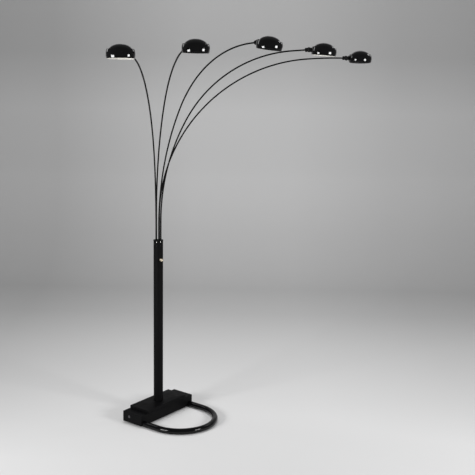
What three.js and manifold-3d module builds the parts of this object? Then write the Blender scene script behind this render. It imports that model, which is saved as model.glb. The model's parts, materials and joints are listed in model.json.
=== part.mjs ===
import * as THREE from 'three';
import { mergeVertices } from 'three/addons/utils/BufferGeometryUtils.js';
import Module from 'manifold-3d';

const wasm = await Module();
wasm.setup();

// Driving sizes, in millimetres, with the floor at zero and the pole standing on the origin
const POLE_DIAMETER = 50.8;
const POLE_WALL = 1.5;
const CAP_TOP = 978;
const HOUSING_LENGTH = 420;
const HOUSING_DEPTH = 134;
const HOUSING_TOP = 63.4;
const HOUSING_LIFT = 8;
const COVER_HEIGHT = 15.4;
const LOOP_LEG_INSET = 23.5;
const LOOP_TUBE_DIAMETER = 32;
const LOOP_BEND_START = -160;
const LOOP_LEG_END = 36;
const SHADE_DIAMETER = 120;
const NECK_LENGTH = 28;
const NECK_OVER_RIM = 23;
const ARM_TUBE_DIAMETER = 7.6;
const HOLE_CIRCLE_RADIUS = 13.5;

// Each arm rises straight from the cap, bends over in two arcs and ends in a straight tail
const ARM_1_RISE = 62;
const ARM_1_LOWER_BEND = 1300;
const ARM_1_UPPER_BEND = 780;
const ARM_1_TAIL = 143;
const ARM_2_RISE = 120;
const ARM_2_LOWER_BEND = 1000;
const ARM_2_UPPER_BEND = 700;
const ARM_2_TAIL = 44;
const ARM_3_RISE = 76;
const ARM_3_LOWER_BEND = 1250;
const ARM_3_UPPER_BEND = 650;
const ARM_3_TAIL = 30;
const ARM_4_RISE = 101;
const ARM_4_LOWER_BEND = 1081;
const ARM_4_UPPER_BEND = 717;
const ARM_4_TAIL = 66;
const ARM_5_RISE = 125;
const ARM_5_LOWER_BEND = 833;
const ARM_5_UPPER_BEND = 2041;
const ARM_5_TAIL = 31;

// Holes and headings in degrees clockwise from the loop's direction, bends as radius and sweep
const ARMS = [
  {
    hole: 108,
    heading: 56.3,
    rise: ARM_1_RISE,
    bends: [[ARM_1_LOWER_BEND, 13.7], [ARM_1_UPPER_BEND, 73.3]],
    tail: ARM_1_TAIL,
    droop: -4.2,
    roll: 0.8,
  },
  {
    hole: 180,
    heading: 36.9,
    rise: ARM_2_RISE,
    bends: [[ARM_2_LOWER_BEND, 38.3], [ARM_2_UPPER_BEND, 49.2]],
    tail: ARM_2_TAIL,
    droop: 2.2,
    roll: 0,
  },
  {
    hole: 36,
    heading: 9.3,
    rise: ARM_3_RISE,
    bends: [[ARM_3_LOWER_BEND, 30.6], [ARM_3_UPPER_BEND, 53.9]],
    tail: ARM_3_TAIL,
    droop: 6.8,
    roll: -2.4,
  },
  {
    hole: -36,
    heading: -15.4,
    rise: ARM_4_RISE,
    bends: [[ARM_4_LOWER_BEND, 29.8], [ARM_4_UPPER_BEND, 55.8]],
    tail: ARM_4_TAIL,
    droop: 2.8,
    roll: -3.5,
  },
  {
    hole: -108,
    heading: -42.4,
    rise: ARM_5_RISE,
    bends: [[ARM_5_LOWER_BEND, 84.9], [ARM_5_UPPER_BEND, 4.7]],
    tail: ARM_5_TAIL,
    droop: -1.8,
    roll: 5.3,
  },
];

// Clearances and general detail
const GAP = 0.3;
const SLIP_GAP = 0.4;
const OVERSHOOT = 4;
const WELD = 1e-4;
const ARM_STEP = 6;
const LOOP_STEP = 10;
const FULL_TURN = 360;
const HALF_TURN = 180;
const RIGHT_ANGLE = Math.PI / 2;
const COORDINATES = 3;

// Facets round each kind of piece
const POLE_SIDES = 24;
const LOOP_OUTER_SIDES = 12;
const LOOP_BORE_SIDES = 10;
const ARM_OUTER_SIDES = 8;
const ARM_BORE_SIDES = 6;
const SHADE_SIDES = 20;
const FITTING_SIDES = 12;
const HEAD_SIDES = 10;
const SMALL_SIDES = 8;
const BULB_SIDES = 10;
const BALL_WIDTH_SIDES = 48;
const BALL_HEIGHT_SIDES = 32;

// Derived pole sizes
const POLE_RADIUS = POLE_DIAMETER / 2;
const POLE_BORE = POLE_RADIUS - POLE_WALL;
const FLANGE_THICKNESS = 5;
const FLANGE_OVERHANG = 1;
const FLANGE_RADIUS = POLE_RADIUS + FLANGE_OVERHANG;
const FLANGE_CHAMFER = 0.8;
const POLE_TOP = CAP_TOP - FLANGE_THICKNESS - GAP;
const PLUG_RADIUS = POLE_BORE - SLIP_GAP;
const PLUG_DEPTH = 32;
const ARM_RADIUS = ARM_TUBE_DIAMETER / 2;
const ARM_WALL = 1;
const ARM_HOLE_RADIUS = ARM_RADIUS + SLIP_GAP;
const SEAT_DEPTH = 76;
const SEAT_TOP = CAP_TOP - SEAT_DEPTH;
const SEAT_THICKNESS = 10;
const SEAT_POCKET = 5;
const SEAT_WIRE_RADIUS = 6;
const ARM_FOOT = SEAT_TOP - SEAT_POCKET + GAP;

// Derived base sizes
const HOUSING_WALL = 2;
const HOUSING_CORNER = 3;
const HOUSING_EDGE = 1;
const HOUSING_CEILING = HOUSING_TOP - HOUSING_WALL;
const COVER_BOTTOM = HOUSING_TOP + GAP;
const COVER_TOP = HOUSING_TOP + COVER_HEIGHT;
const COVER_END_STEP = 53.6;
const COVER_LENGTH = HOUSING_LENGTH - COVER_END_STEP * 2;
const COVER_INSET = 1.5;
const COVER_DEPTH = HOUSING_DEPTH - COVER_INSET * 2;
const COVER_CORNER = 2.5;
const CLAMP_LENGTH = 42.4;
const CLAMP_OUTER = HOUSING_LENGTH / 2 - HOUSING_WALL - GAP;
const CLAMP_INNER = CLAMP_OUTER - CLAMP_LENGTH;
const BALLAST_LENGTH = (CLAMP_INNER - GAP) * 2;
const BALLAST_SIDE_ROOM = 6;
const BALLAST_DEPTH = HOUSING_DEPTH - (HOUSING_WALL + BALLAST_SIDE_ROOM) * 2;
const BALLAST_TOP = HOUSING_CEILING - GAP;
const BALLAST_CORNER = 4;
const BALLAST_EDGE = 1.5;
const POLE_HOLE_RADIUS = POLE_RADIUS + SLIP_GAP;
const SOCKET_WALL = 4.2;
const SOCKET_RADIUS = POLE_HOLE_RADIUS + SOCKET_WALL;
const SOCKET_FLOOR = 14;
const SOCKET_FLOOR_THICKNESS = 4;
const POLE_FOOT = SOCKET_FLOOR + GAP + SOCKET_FLOOR_THICKNESS + GAP;

// Loop, its plugs and its clamps
const LOOP_TUBE_RADIUS = LOOP_TUBE_DIAMETER / 2;
const LOOP_WALL = 2;
const LOOP_HEIGHT = LOOP_TUBE_RADIUS;
const LOOP_BORE = LOOP_TUBE_RADIUS - LOOP_WALL;
const LOOP_BEND_RADIUS = HOUSING_LENGTH / 2 - LOOP_LEG_INSET;
const LOOP_HOLE_RADIUS = LOOP_TUBE_RADIUS + SLIP_GAP;
const LOOP_LEG_LENGTH = LOOP_LEG_END - LOOP_BEND_START;
const END_PLUG_SLIP = 1.1;
const END_PLUG_SPIGOT_RADIUS = LOOP_BORE - END_PLUG_SLIP;
const END_PLUG_SPIGOT_LENGTH = 12;
const END_PLUG_STEP = 0.8;
const END_PLUG_RADIUS = LOOP_TUBE_RADIUS - END_PLUG_STEP;
const END_PLUG_THICKNESS = 3;
const CLAMP_FRONT = -45;
const CLAMP_BACK = -10;
const CLAMP_BOTTOM = 6;

// Inlet bushing in the left end wall
const INLET_BACKSET = 20;
const INLET_HEIGHT = 41;
const INLET_BODY_RADIUS = 5.6;
const INLET_FLANGE_RADIUS = 7;
const INLET_FLANGE_THICKNESS = 1.6;
const INLET_BORE_RADIUS = 3.2;
const INLET_BODY_LENGTH = 7;

// Cap screws: headings in degrees clockwise from the loop's direction
const SCREW_HEADINGS = [22, 68];
const SCREW_UNDER_FLANGE = 2.7;
const SCREW_OVER_PLUG_END = 4;
const SCREW_HEIGHTS = [POLE_TOP - SCREW_UNDER_FLANGE, CAP_TOP - PLUG_DEPTH + SCREW_OVER_PLUG_END];
const SCREW_HEAD_RADIUS = 2.5;
const SCREW_HEAD_HEIGHT = 1.4;
const SCREW_CROWN_SHARE = 0.6;
const SCREW_SHANK_RADIUS = 1.2;
const SCREW_REACH = 4.9;
const SCREW_TIP = POLE_RADIUS - SCREW_REACH;

// Dimmer and its knob
const DIMMER_HEADING = 22;
const DIMMER_RADIUS = 8;
const DIMMER_UNDER_SEAT = 9;
const DIMMER_HEIGHT = SEAT_TOP - SEAT_THICKNESS - DIMMER_UNDER_SEAT - DIMMER_RADIUS;
const DIMMER_WALL_ROOM = 0.7;
const DIMMER_FRONT = Math.sqrt(POLE_BORE ** 2 - DIMMER_RADIUS ** 2) - DIMMER_WALL_ROOM;
const DIMMER_LENGTH = 13.8;
const DIMMER_BACK = DIMMER_FRONT - DIMMER_LENGTH;
const DIMMER_BUSH_RADIUS = 3.4;
const DIMMER_BUSH_OUTSIDE = 3.6;
const DIMMER_BUSH_TIP = POLE_RADIUS + DIMMER_BUSH_OUTSIDE;
const DIMMER_BACK_WALL = 8;
const DIMMER_BORE_END = DIMMER_BACK + DIMMER_BACK_WALL;
const NUT_WALL = 1.7;
const NUT_RADIUS = DIMMER_BUSH_RADIUS + GAP + NUT_WALL;
const NUT_THICKNESS = 2.2;
const KNOB_RADIUS = 6.75;
const KNOB_SKIRT = 0.95;
const KNOB_RECESS_RADIUS = KNOB_RADIUS - KNOB_SKIRT;
const KNOB_STANDOFF = 0.9;
const KNOB_BACK = POLE_RADIUS + KNOB_STANDOFF;
const KNOB_LENGTH = 17.1;
const KNOB_FRONT = KNOB_BACK + KNOB_LENGTH;
const KNOB_RECESS_END = DIMMER_BUSH_TIP + GAP;
const KNOB_SHAFT_RADIUS = 1.6;
const KNOB_SHAFT_ROOM = 1;
const KNOB_SHAFT_END = DIMMER_BORE_END + KNOB_SHAFT_ROOM;
const DIMMER_BORE_RADIUS = KNOB_SHAFT_RADIUS + GAP;
const KNOB_EDGE = 1.2;

// Shade shell, as shares of the shade's radius
const SHADE_RADIUS = SHADE_DIAMETER / 2;
const SHADE_WALL = 1.2;
const BAND_CENTRE_SHARE = 0.31;
const BAND_TOP_SHARE = 0.64;
const DOME_WIDTH_SHARE = 0.84;
const DOME_RISE_SHARE = 0.5;
const DOME_BASE_SHARE = 0.49;
const GROOVE_SHARE = 0.59;
const BAND_CENTRE = SHADE_RADIUS * BAND_CENTRE_SHARE;
const BAND_TOP = SHADE_RADIUS * BAND_TOP_SHARE;
const DOME_WIDTH = SHADE_RADIUS * DOME_WIDTH_SHARE;
const DOME_RISE = SHADE_RADIUS * DOME_RISE_SHARE;
const DOME_BASE = SHADE_RADIUS * DOME_BASE_SHARE;
const GROOVE_HEIGHT = SHADE_RADIUS * GROOVE_SHARE;
const BAND_STEPS = 3;
const DOME_STEPS = 4;
const INNER_BAND_STEPS = 3;
const INNER_DOME_STEPS = 2;

// Neck fittings between an arm's end and its shade, measured along the neck from the pivot pin
const PIN_FROM_ARM_END = 14;
const PIN_TO_SHADE_AXIS = NECK_LENGTH + SHADE_RADIUS - PIN_FROM_ARM_END;
const COLLAR_RADIUS = 10;
const COLLAR_SLEEVE = 5;
const COLLAR_WEB_END = 3;
const COLLAR_EDGE = 1.2;
const CHEEK_RADIUS = 11.5;
const CHEEK_THICKNESS = 5;
const CHEEK_HALF_HEIGHT = 8;
const CHEEK_OVERLAP = 2;
const FORK_HALF_GAP = 3.3;
const TONGUE_TIP_ROOM = 0.6;
const TONGUE_RADIUS = PIN_FROM_ARM_END - COLLAR_WEB_END - TONGUE_TIP_ROOM;
const TONGUE_HALF_THICKNESS = FORK_HALF_GAP - GAP;
const TONGUE_HALF_HEIGHT = 7.5;
const PIN_RADIUS = 2.5;
const PIN_HEAD_RADIUS = 4.5;
const PIN_HEAD_THICKNESS = 1.5;
const CHEEK_TIP_ROOM = 0.5;
const FLANGE_START = CHEEK_RADIUS + CHEEK_TIP_ROOM;
const CUP_RADIUS = 12.5;
const CUP_NECK_RADIUS = 9.4;
const CUP_NECK_HOLE = CUP_NECK_RADIUS + SLIP_GAP;
const CUP_BORE_RADIUS = 5;
const CUP_NECK_INSET = 7;
const CUP_BORE_START = 2;

// Lampholder and bulb, measured from the shade's axis
const HOLDER_OVERLAP = 1;
const HOLDER_RADIUS = CUP_NECK_HOLE + HOLDER_OVERLAP;
const HOLDER_WEB_BACK = -SHADE_RADIUS + CUP_NECK_INSET + SLIP_GAP;
const HOLDER_WEB_THICKNESS = 4.6;
const HOLDER_WEB_FRONT = HOLDER_WEB_BACK + HOLDER_WEB_THICKNESS;
const HOLDER_DEPTH = 18;
const HOLDER_FRONT = HOLDER_WEB_FRONT + HOLDER_DEPTH;
const HOLDER_WIRE_RADIUS = 3;
const BULB_BASE_RADIUS = 8;
const HOLDER_BORE_RADIUS = BULB_BASE_RADIUS + SLIP_GAP;
const BULB_RADIUS = 18;
const BULB_BASE_TO_CENTRE = 45.7;
const BULB_CENTRE = HOLDER_WEB_FRONT + GAP + BULB_BASE_TO_CENTRE;
const BULB_STEPS = 6;
const FACET_SINK = 1;

// Finishes
const BLACK_PAINT = { color: '#0b0b0c', roughness: 0.22, metalness: 0 };
const CAST_IRON = { color: '#3a3a3b', roughness: 0.8, metalness: 0.6 };
const BRIGHT_STEEL = { color: '#c4c4c2', roughness: 0.3, metalness: 1 };
const DARK_STEEL = { color: '#1c1c1e', roughness: 0.5, metalness: 1 };
const BRASS = { color: '#d8c48a', roughness: 0.3, metalness: 1 };
const BLACK_PLASTIC = { color: '#161616', roughness: 0.5, metalness: 0 };
const GREY_RUBBER = { color: '#6f6f70', roughness: 0.7, metalness: 0 };
const CERAMIC = { color: '#e9e6df', roughness: 0.35, metalness: 0 };
const GLASS = { color: '#f4f2ea', roughness: 0.15, metalness: 0 };

function radians(degrees) {
  return degrees * Math.PI / HALF_TURN;
}

// Unit vector over the floor, clockwise from the loop's direction as seen from above
function floorward(heading) {
  const angle = radians(heading);
  return new THREE.Vector3(-Math.sin(angle), -Math.cos(angle), 0);
}

// A tangent-continuous line of straights and arcs lying in one plane
class BentLine extends THREE.Curve {
  constructor(start, along, toward, stretches, stepAngle) {
    super();
    this.start = start;
    this.along = along;
    this.toward = toward;
    this.stretches = stretches;
    this.stations = [];
    let turned = 0;
    let base = new THREE.Vector2(0, 0);
    for (const stretch of stretches) {
      const count = stretch.sweep ? Math.ceil(stretch.sweep / stepAngle) : 1;
      for (let step = 0; step < count; step += 1) {
        this.stations.push({ stretch, base, turned, from: step / count, to: (step + 1) / count });
      }
      base = this.place(stretch, base, turned, 1);
      turned += radians(stretch.sweep ?? 0);
    }
    this.endTurn = turned;
    this.end = base;
  }

  place(stretch, base, turned, share) {
    if (stretch.length !== undefined) {
      const run = stretch.length * share;
      return new THREE.Vector2(base.x + run * Math.sin(turned), base.y + run * Math.cos(turned));
    }
    const swept = turned + radians(stretch.sweep) * share;
    return new THREE.Vector2(
      base.x + stretch.radius * (Math.cos(turned) - Math.cos(swept)),
      base.y + stretch.radius * (Math.sin(swept) - Math.sin(turned)),
    );
  }

  getUtoTmapping(share) {
    return share;
  }

  getPoint(share, target = new THREE.Vector3()) {
    const count = this.stations.length;
    const spot = Math.min(Math.max(share, 0), 1) * count;
    const index = Math.min(Math.floor(spot), count - 1);
    const { stretch, base, turned, from, to } = this.stations[index];
    const flat = this.place(stretch, base, turned, from + (to - from) * (spot - index));
    return target.copy(this.start)
      .addScaledVector(this.toward, flat.x)
      .addScaledVector(this.along, flat.y);
  }
}

// Weld, drop empty facets and turn every facet outward
function closed(geometry) {
  const bare = geometry.clone();
  bare.deleteAttribute('normal');
  bare.deleteAttribute('uv');
  const welded = mergeVertices(bare, WELD);
  const spots = welded.attributes.position;
  const corners = welded.index.array;
  const kept = [];
  let volume = 0;
  const a = new THREE.Vector3();
  const b = new THREE.Vector3();
  const c = new THREE.Vector3();
  for (let i = 0; i < corners.length; i += COORDINATES) {
    const [p, q, r] = [corners[i], corners[i + 1], corners[i + 2]];
    if (p === q || q === r || r === p) continue;
    a.fromBufferAttribute(spots, p);
    b.fromBufferAttribute(spots, q);
    c.fromBufferAttribute(spots, r);
    volume += a.dot(b.clone().cross(c));
    kept.push(p, q, r);
  }
  if (volume < 0) kept.reverse();
  const result = new THREE.BufferGeometry();
  result.setAttribute('position', new THREE.BufferAttribute(spots.array, COORDINATES));
  result.setIndex(kept);
  return result;
}

function solid(geometry) {
  const shell = closed(geometry);
  return new wasm.Manifold(new wasm.Mesh({
    numProp: COORDINATES,
    vertProperties: new Float32Array(shell.attributes.position.array),
    triVerts: new Uint32Array(shell.index.array),
  }));
}

function fromSolid(body) {
  const mesh = body.getMesh();
  const result = new THREE.BufferGeometry();
  const spots = new Float32Array(mesh.numVert * COORDINATES);
  for (let i = 0; i < mesh.numVert; i += 1) {
    for (let k = 0; k < COORDINATES; k += 1) {
      spots[i * COORDINATES + k] = mesh.vertProperties[i * mesh.numProp + k];
    }
  }
  result.setAttribute('position', new THREE.BufferAttribute(spots, COORDINATES));
  result.setIndex(Array.from(mesh.triVerts));
  return result;
}

// One body less a list of others
function cut(geometry, tools) {
  let body = solid(geometry);
  for (const tool of tools) body = body.subtract(solid(tool));
  return fromSolid(body);
}

function join(geometries) {
  let body = solid(geometries[0]);
  for (const other of geometries.slice(1)) body = body.add(solid(other));
  return fromSolid(body);
}

function box(low, high) {
  const geometry = new THREE.BoxGeometry(high[0] - low[0], high[1] - low[1], high[2] - low[2]);
  const middle = low.map((value, axis) => (value + high[axis]) / 2);
  return geometry.translate(middle[0], middle[1], middle[2]);
}

// Turned body about +Z from [radius, height] pairs
function turned(profile, sides) {
  const points = profile.map(([radius, height]) => new THREE.Vector2(radius, height));
  return new THREE.LatheGeometry(points, sides).rotateX(RIGHT_ANGLE);
}

function rod(radius, low, high, sides) {
  return turned([[0, low], [radius, low], [radius, high], [0, high]], sides);
}

function ring(inner, outer, low, high, sides) {
  return turned([[inner, low], [outer, low], [outer, high], [inner, high], [inner, low]], sides);
}

function roundedOutline(length, depth, corner) {
  const x = length / 2;
  const y = depth / 2;
  const shape = new THREE.Shape();
  shape.moveTo(-x + corner, -y);
  shape.lineTo(x - corner, -y);
  shape.absarc(x - corner, -y + corner, corner, -RIGHT_ANGLE, 0, false);
  shape.lineTo(x, y - corner);
  shape.absarc(x - corner, y - corner, corner, 0, RIGHT_ANGLE, false);
  shape.lineTo(-x + corner, y);
  shape.absarc(-x + corner, y - corner, corner, RIGHT_ANGLE, Math.PI, false);
  shape.lineTo(-x, -y + corner);
  shape.absarc(-x + corner, -y + corner, corner, Math.PI, Math.PI + RIGHT_ANGLE, false);
  return shape;
}

// Upright slab with rounded corners and softened long edges
function slab(length, depth, low, high, corner, edge) {
  const inner = roundedOutline(length - edge * 2, depth - edge * 2, corner);
  const geometry = new THREE.ExtrudeGeometry(inner, {
    depth: high - low - edge * 2,
    curveSegments: COORDINATES,
    bevelEnabled: true,
    bevelThickness: edge,
    bevelSize: edge,
    bevelSegments: 1,
  });
  return geometry.translate(0, 0, low + edge);
}

function circleOutline(radius, sides) {
  const points = [];
  for (let i = 0; i < sides; i += 1) {
    const angle = radians(FULL_TURN * i / sides);
    points.push(new THREE.Vector2(radius * Math.cos(angle), radius * Math.sin(angle)));
  }
  return points;
}

// Open-ended tube swept along a bent line
function tube(path, radius, bore, outerSides, boreSides) {
  const shape = new THREE.Shape(circleOutline(radius, outerSides));
  shape.holes.push(new THREE.Path(circleOutline(bore, boreSides)));
  return new THREE.ExtrudeGeometry(shape, {
    steps: path.stations.length,
    extrudePath: path,
    bevelEnabled: false,
  });
}

// Turn a body made about +Z so that it points out of the pole along a floor heading
function outOfPole(geometry, heading, height) {
  const out = floorward(heading);
  const up = new THREE.Vector3(0, 0, 1);
  const side = new THREE.Vector3().crossVectors(up, out);
  const frame = new THREE.Matrix4().makeBasis(side, up, out);
  frame.setPosition(0, 0, height);
  return geometry.clone().applyMatrix4(frame);
}

const lamp = new THREE.Group();
lamp.name = 'tree_floor_lamp';

function addPiece(name, geometry, finish) {
  const shell = closed(geometry);
  shell.computeVertexNormals();
  const mesh = new THREE.Mesh(shell, new THREE.MeshStandardMaterial(finish));
  mesh.name = name;
  lamp.add(mesh);
}

function alongY(radius, x, height, low, high, sides) {
  return rod(radius, low, high, sides).rotateX(-RIGHT_ANGLE).translate(x, 0, height);
}

// Base housing: a shell open below, notched for the loop's legs and pierced for the pole
const housingTools = [
  box(
    [-HOUSING_LENGTH / 2 + HOUSING_WALL, -HOUSING_DEPTH / 2 + HOUSING_WALL, -OVERSHOOT],
    [HOUSING_LENGTH / 2 - HOUSING_WALL, HOUSING_DEPTH / 2 - HOUSING_WALL, HOUSING_CEILING],
  ),
  box([-HOUSING_LENGTH, -HOUSING_DEPTH, -OVERSHOOT], [HOUSING_LENGTH, HOUSING_DEPTH, HOUSING_LIFT]),
  rod(POLE_HOLE_RADIUS, 0, HOUSING_TOP + OVERSHOOT, POLE_SIDES),
];
for (const side of [-1, 1]) {
  const leg = side * LOOP_BEND_RADIUS;
  housingTools.push(alongY(LOOP_HOLE_RADIUS, leg, LOOP_HEIGHT, -HOUSING_DEPTH, 0, POLE_SIDES));
  housingTools.push(box(
    [leg - LOOP_HOLE_RADIUS, -HOUSING_DEPTH, -OVERSHOOT],
    [leg + LOOP_HOLE_RADIUS, 0, LOOP_HEIGHT],
  ));
}
const inletHole = rod(INLET_BODY_RADIUS + GAP, -OVERSHOOT, OVERSHOOT + HOUSING_WALL, FITTING_SIDES);
inletHole.rotateY(RIGHT_ANGLE);
inletHole.translate(-HOUSING_LENGTH / 2, INLET_BACKSET, INLET_HEIGHT);
housingTools.push(inletHole);
const housingBlank = slab(HOUSING_LENGTH, HOUSING_DEPTH, 0, HOUSING_TOP, HOUSING_CORNER, HOUSING_EDGE);
addPiece('base_housing', cut(housingBlank, housingTools), BLACK_PAINT);

// Raised cover on the housing
const coverBlank = slab(
  COVER_LENGTH,
  COVER_DEPTH,
  COVER_BOTTOM - OVERSHOOT,
  COVER_TOP,
  COVER_CORNER,
  HOUSING_EDGE,
);
addPiece('base_top_cover', cut(coverBlank, [
  box([-COVER_LENGTH, -COVER_DEPTH, 0], [COVER_LENGTH, COVER_DEPTH, COVER_BOTTOM]),
  box(
    [-COVER_LENGTH / 2 + HOUSING_WALL, -COVER_DEPTH / 2 + HOUSING_WALL, 0],
    [COVER_LENGTH / 2 - HOUSING_WALL, COVER_DEPTH / 2 - HOUSING_WALL, COVER_TOP - HOUSING_WALL],
  ),
  rod(POLE_HOLE_RADIUS, 0, COVER_TOP + OVERSHOOT, POLE_SIDES),
]), BLACK_PAINT);

// Ballast slab that the lamp stands on, with the pole's socket sunk into it
const ballastBlank = slab(BALLAST_LENGTH, BALLAST_DEPTH, 0, BALLAST_TOP, BALLAST_CORNER, BALLAST_EDGE);
addPiece('ballast_weight', cut(ballastBlank, [
  rod(SOCKET_RADIUS + GAP, SOCKET_FLOOR, BALLAST_TOP + OVERSHOOT, POLE_SIDES),
]), CAST_IRON);
addPiece('pole_socket', turned([
  [0, SOCKET_FLOOR + GAP],
  [SOCKET_RADIUS, SOCKET_FLOOR + GAP],
  [SOCKET_RADIUS, BALLAST_TOP],
  [POLE_HOLE_RADIUS, BALLAST_TOP],
  [POLE_HOLE_RADIUS, POLE_FOOT - GAP],
  [0, POLE_FOOT - GAP],
], POLE_SIDES), CAST_IRON);

// Floor loop of bent tube
const loopPath = new BentLine(
  new THREE.Vector3(LOOP_BEND_RADIUS, LOOP_LEG_END, LOOP_HEIGHT),
  new THREE.Vector3(0, -1, 0),
  new THREE.Vector3(-1, 0, 0),
  [
    { length: LOOP_LEG_LENGTH },
    { radius: LOOP_BEND_RADIUS, sweep: HALF_TURN },
    { length: LOOP_LEG_LENGTH },
  ],
  LOOP_STEP,
);
const loopTube = tube(loopPath, LOOP_TUBE_RADIUS, LOOP_BORE, LOOP_OUTER_SIDES, LOOP_BORE_SIDES);
addPiece('loop_tube', loopTube, BLACK_PAINT);

for (const [label, side] of [['left', -1], ['right', 1]]) {
  const leg = side * LOOP_BEND_RADIUS;
  const plug = turned([
    [0, LOOP_LEG_END - END_PLUG_SPIGOT_LENGTH],
    [END_PLUG_SPIGOT_RADIUS, LOOP_LEG_END - END_PLUG_SPIGOT_LENGTH],
    [END_PLUG_SPIGOT_RADIUS, LOOP_LEG_END + GAP],
    [END_PLUG_RADIUS, LOOP_LEG_END + GAP],
    [END_PLUG_RADIUS, LOOP_LEG_END + GAP + END_PLUG_THICKNESS],
    [0, LOOP_LEG_END + GAP + END_PLUG_THICKNESS],
  ], FITTING_SIDES);
  plug.rotateX(-RIGHT_ANGLE);
  plug.translate(leg, 0, LOOP_HEIGHT);
  addPiece(`loop_end_plug_${label}`, plug, BLACK_PLASTIC);
  const near = side * CLAMP_INNER;
  const far = side * CLAMP_OUTER;
  const block = box(
    [Math.min(near, far), CLAMP_FRONT, CLAMP_BOTTOM],
    [Math.max(near, far), CLAMP_BACK, BALLAST_TOP],
  );
  const channel = alongY(LOOP_HOLE_RADIUS, leg, LOOP_HEIGHT, CLAMP_FRONT - OVERSHOOT, 0, POLE_SIDES);
  addPiece(`loop_clamp_${label}`, cut(block, [channel]), CAST_IRON);
}

// Inlet bushing in the left end wall, pointing outward
const bushing = turned([
  [INLET_BORE_RADIUS, GAP + INLET_FLANGE_THICKNESS],
  [INLET_BORE_RADIUS, -INLET_BODY_LENGTH],
  [INLET_BODY_RADIUS, -INLET_BODY_LENGTH],
  [INLET_BODY_RADIUS, GAP],
  [INLET_FLANGE_RADIUS, GAP],
  [INLET_FLANGE_RADIUS, GAP + INLET_FLANGE_THICKNESS],
  [INLET_BORE_RADIUS, GAP + INLET_FLANGE_THICKNESS],
], FITTING_SIDES);
bushing.rotateY(-RIGHT_ANGLE);
bushing.translate(-HOUSING_LENGTH / 2, INLET_BACKSET, INLET_HEIGHT);
addPiece('inlet_bushing', bushing, GREY_RUBBER);

// Pole, cap and the seat that carries the arms' feet
const screwSpots = SCREW_HEIGHTS.flatMap((height) => SCREW_HEADINGS.map((heading) => ({ heading, height })));
const poleTools = screwSpots.map(({ heading, height }) => (
  outOfPole(rod(SCREW_SHANK_RADIUS + GAP, 0, POLE_RADIUS + OVERSHOOT, SMALL_SIDES), heading, height)
));
poleTools.push(outOfPole(
  rod(DIMMER_BUSH_RADIUS + GAP, 0, POLE_RADIUS + OVERSHOOT, FITTING_SIDES),
  DIMMER_HEADING,
  DIMMER_HEIGHT,
));
const poleBlank = ring(POLE_BORE, POLE_RADIUS, POLE_FOOT, POLE_TOP, POLE_SIDES);
addPiece('pole_tube', cut(poleBlank, poleTools), BLACK_PAINT);

const armHoles = ARMS.map(({ hole }) => floorward(hole).multiplyScalar(HOLE_CIRCLE_RADIUS));
const capBlank = turned([
  [0, CAP_TOP - PLUG_DEPTH],
  [PLUG_RADIUS, CAP_TOP - PLUG_DEPTH],
  [PLUG_RADIUS, POLE_TOP + GAP],
  [FLANGE_RADIUS, POLE_TOP + GAP],
  [FLANGE_RADIUS, CAP_TOP - FLANGE_CHAMFER],
  [FLANGE_RADIUS - FLANGE_CHAMFER, CAP_TOP],
  [0, CAP_TOP],
], POLE_SIDES);
const capTools = armHoles.map((spot) => (
  rod(ARM_HOLE_RADIUS, SEAT_TOP, CAP_TOP + OVERSHOOT, FITTING_SIDES).translate(spot.x, spot.y, 0)
));
for (const { heading, height } of screwSpots) {
  const thread = rod(SCREW_SHANK_RADIUS + GAP, SCREW_TIP - GAP, POLE_RADIUS + OVERSHOOT, SMALL_SIDES);
  capTools.push(outOfPole(thread, heading, height));
}
addPiece('top_cap', cut(capBlank, capTools), BLACK_PAINT);

const seatBlank = ring(SEAT_WIRE_RADIUS, PLUG_RADIUS, SEAT_TOP - SEAT_THICKNESS, SEAT_TOP, POLE_SIDES);
addPiece('arm_seat_disc', cut(seatBlank, armHoles.map((spot) => (
  rod(ARM_HOLE_RADIUS, ARM_FOOT - GAP, SEAT_TOP + OVERSHOOT, FITTING_SIDES).translate(spot.x, spot.y, 0)
))), BLACK_PLASTIC);

screwSpots.forEach(({ heading, height }, index) => {
  const screw = turned([
    [0, SCREW_TIP],
    [SCREW_SHANK_RADIUS, SCREW_TIP],
    [SCREW_SHANK_RADIUS, POLE_RADIUS + GAP],
    [SCREW_HEAD_RADIUS, POLE_RADIUS + GAP],
    [SCREW_HEAD_RADIUS * SCREW_CROWN_SHARE, POLE_RADIUS + GAP + SCREW_HEAD_HEIGHT],
    [0, POLE_RADIUS + GAP + SCREW_HEAD_HEIGHT],
  ], SMALL_SIDES);
  const upper = index < SCREW_HEADINGS.length;
  addPiece(`cap_screw_${index + 1}`, outOfPole(screw, heading, height), upper ? BRIGHT_STEEL : DARK_STEEL);
});

// Dimmer behind the pole wall, its nut and its knob
addPiece('dimmer_body', outOfPole(turned([
  [0, DIMMER_BACK],
  [DIMMER_RADIUS, DIMMER_BACK],
  [DIMMER_RADIUS, DIMMER_FRONT],
  [DIMMER_BUSH_RADIUS, DIMMER_FRONT],
  [DIMMER_BUSH_RADIUS, DIMMER_BUSH_TIP],
  [DIMMER_BORE_RADIUS, DIMMER_BUSH_TIP],
  [DIMMER_BORE_RADIUS, DIMMER_BORE_END],
  [0, DIMMER_BORE_END],
], FITTING_SIDES), DIMMER_HEADING, DIMMER_HEIGHT), BLACK_PLASTIC);
const nutBack = POLE_RADIUS + GAP;
addPiece('dimmer_nut', outOfPole(
  ring(DIMMER_BUSH_RADIUS + GAP, NUT_RADIUS, nutBack, nutBack + NUT_THICKNESS, SMALL_SIDES),
  DIMMER_HEADING,
  DIMMER_HEIGHT,
), BRIGHT_STEEL);
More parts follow.
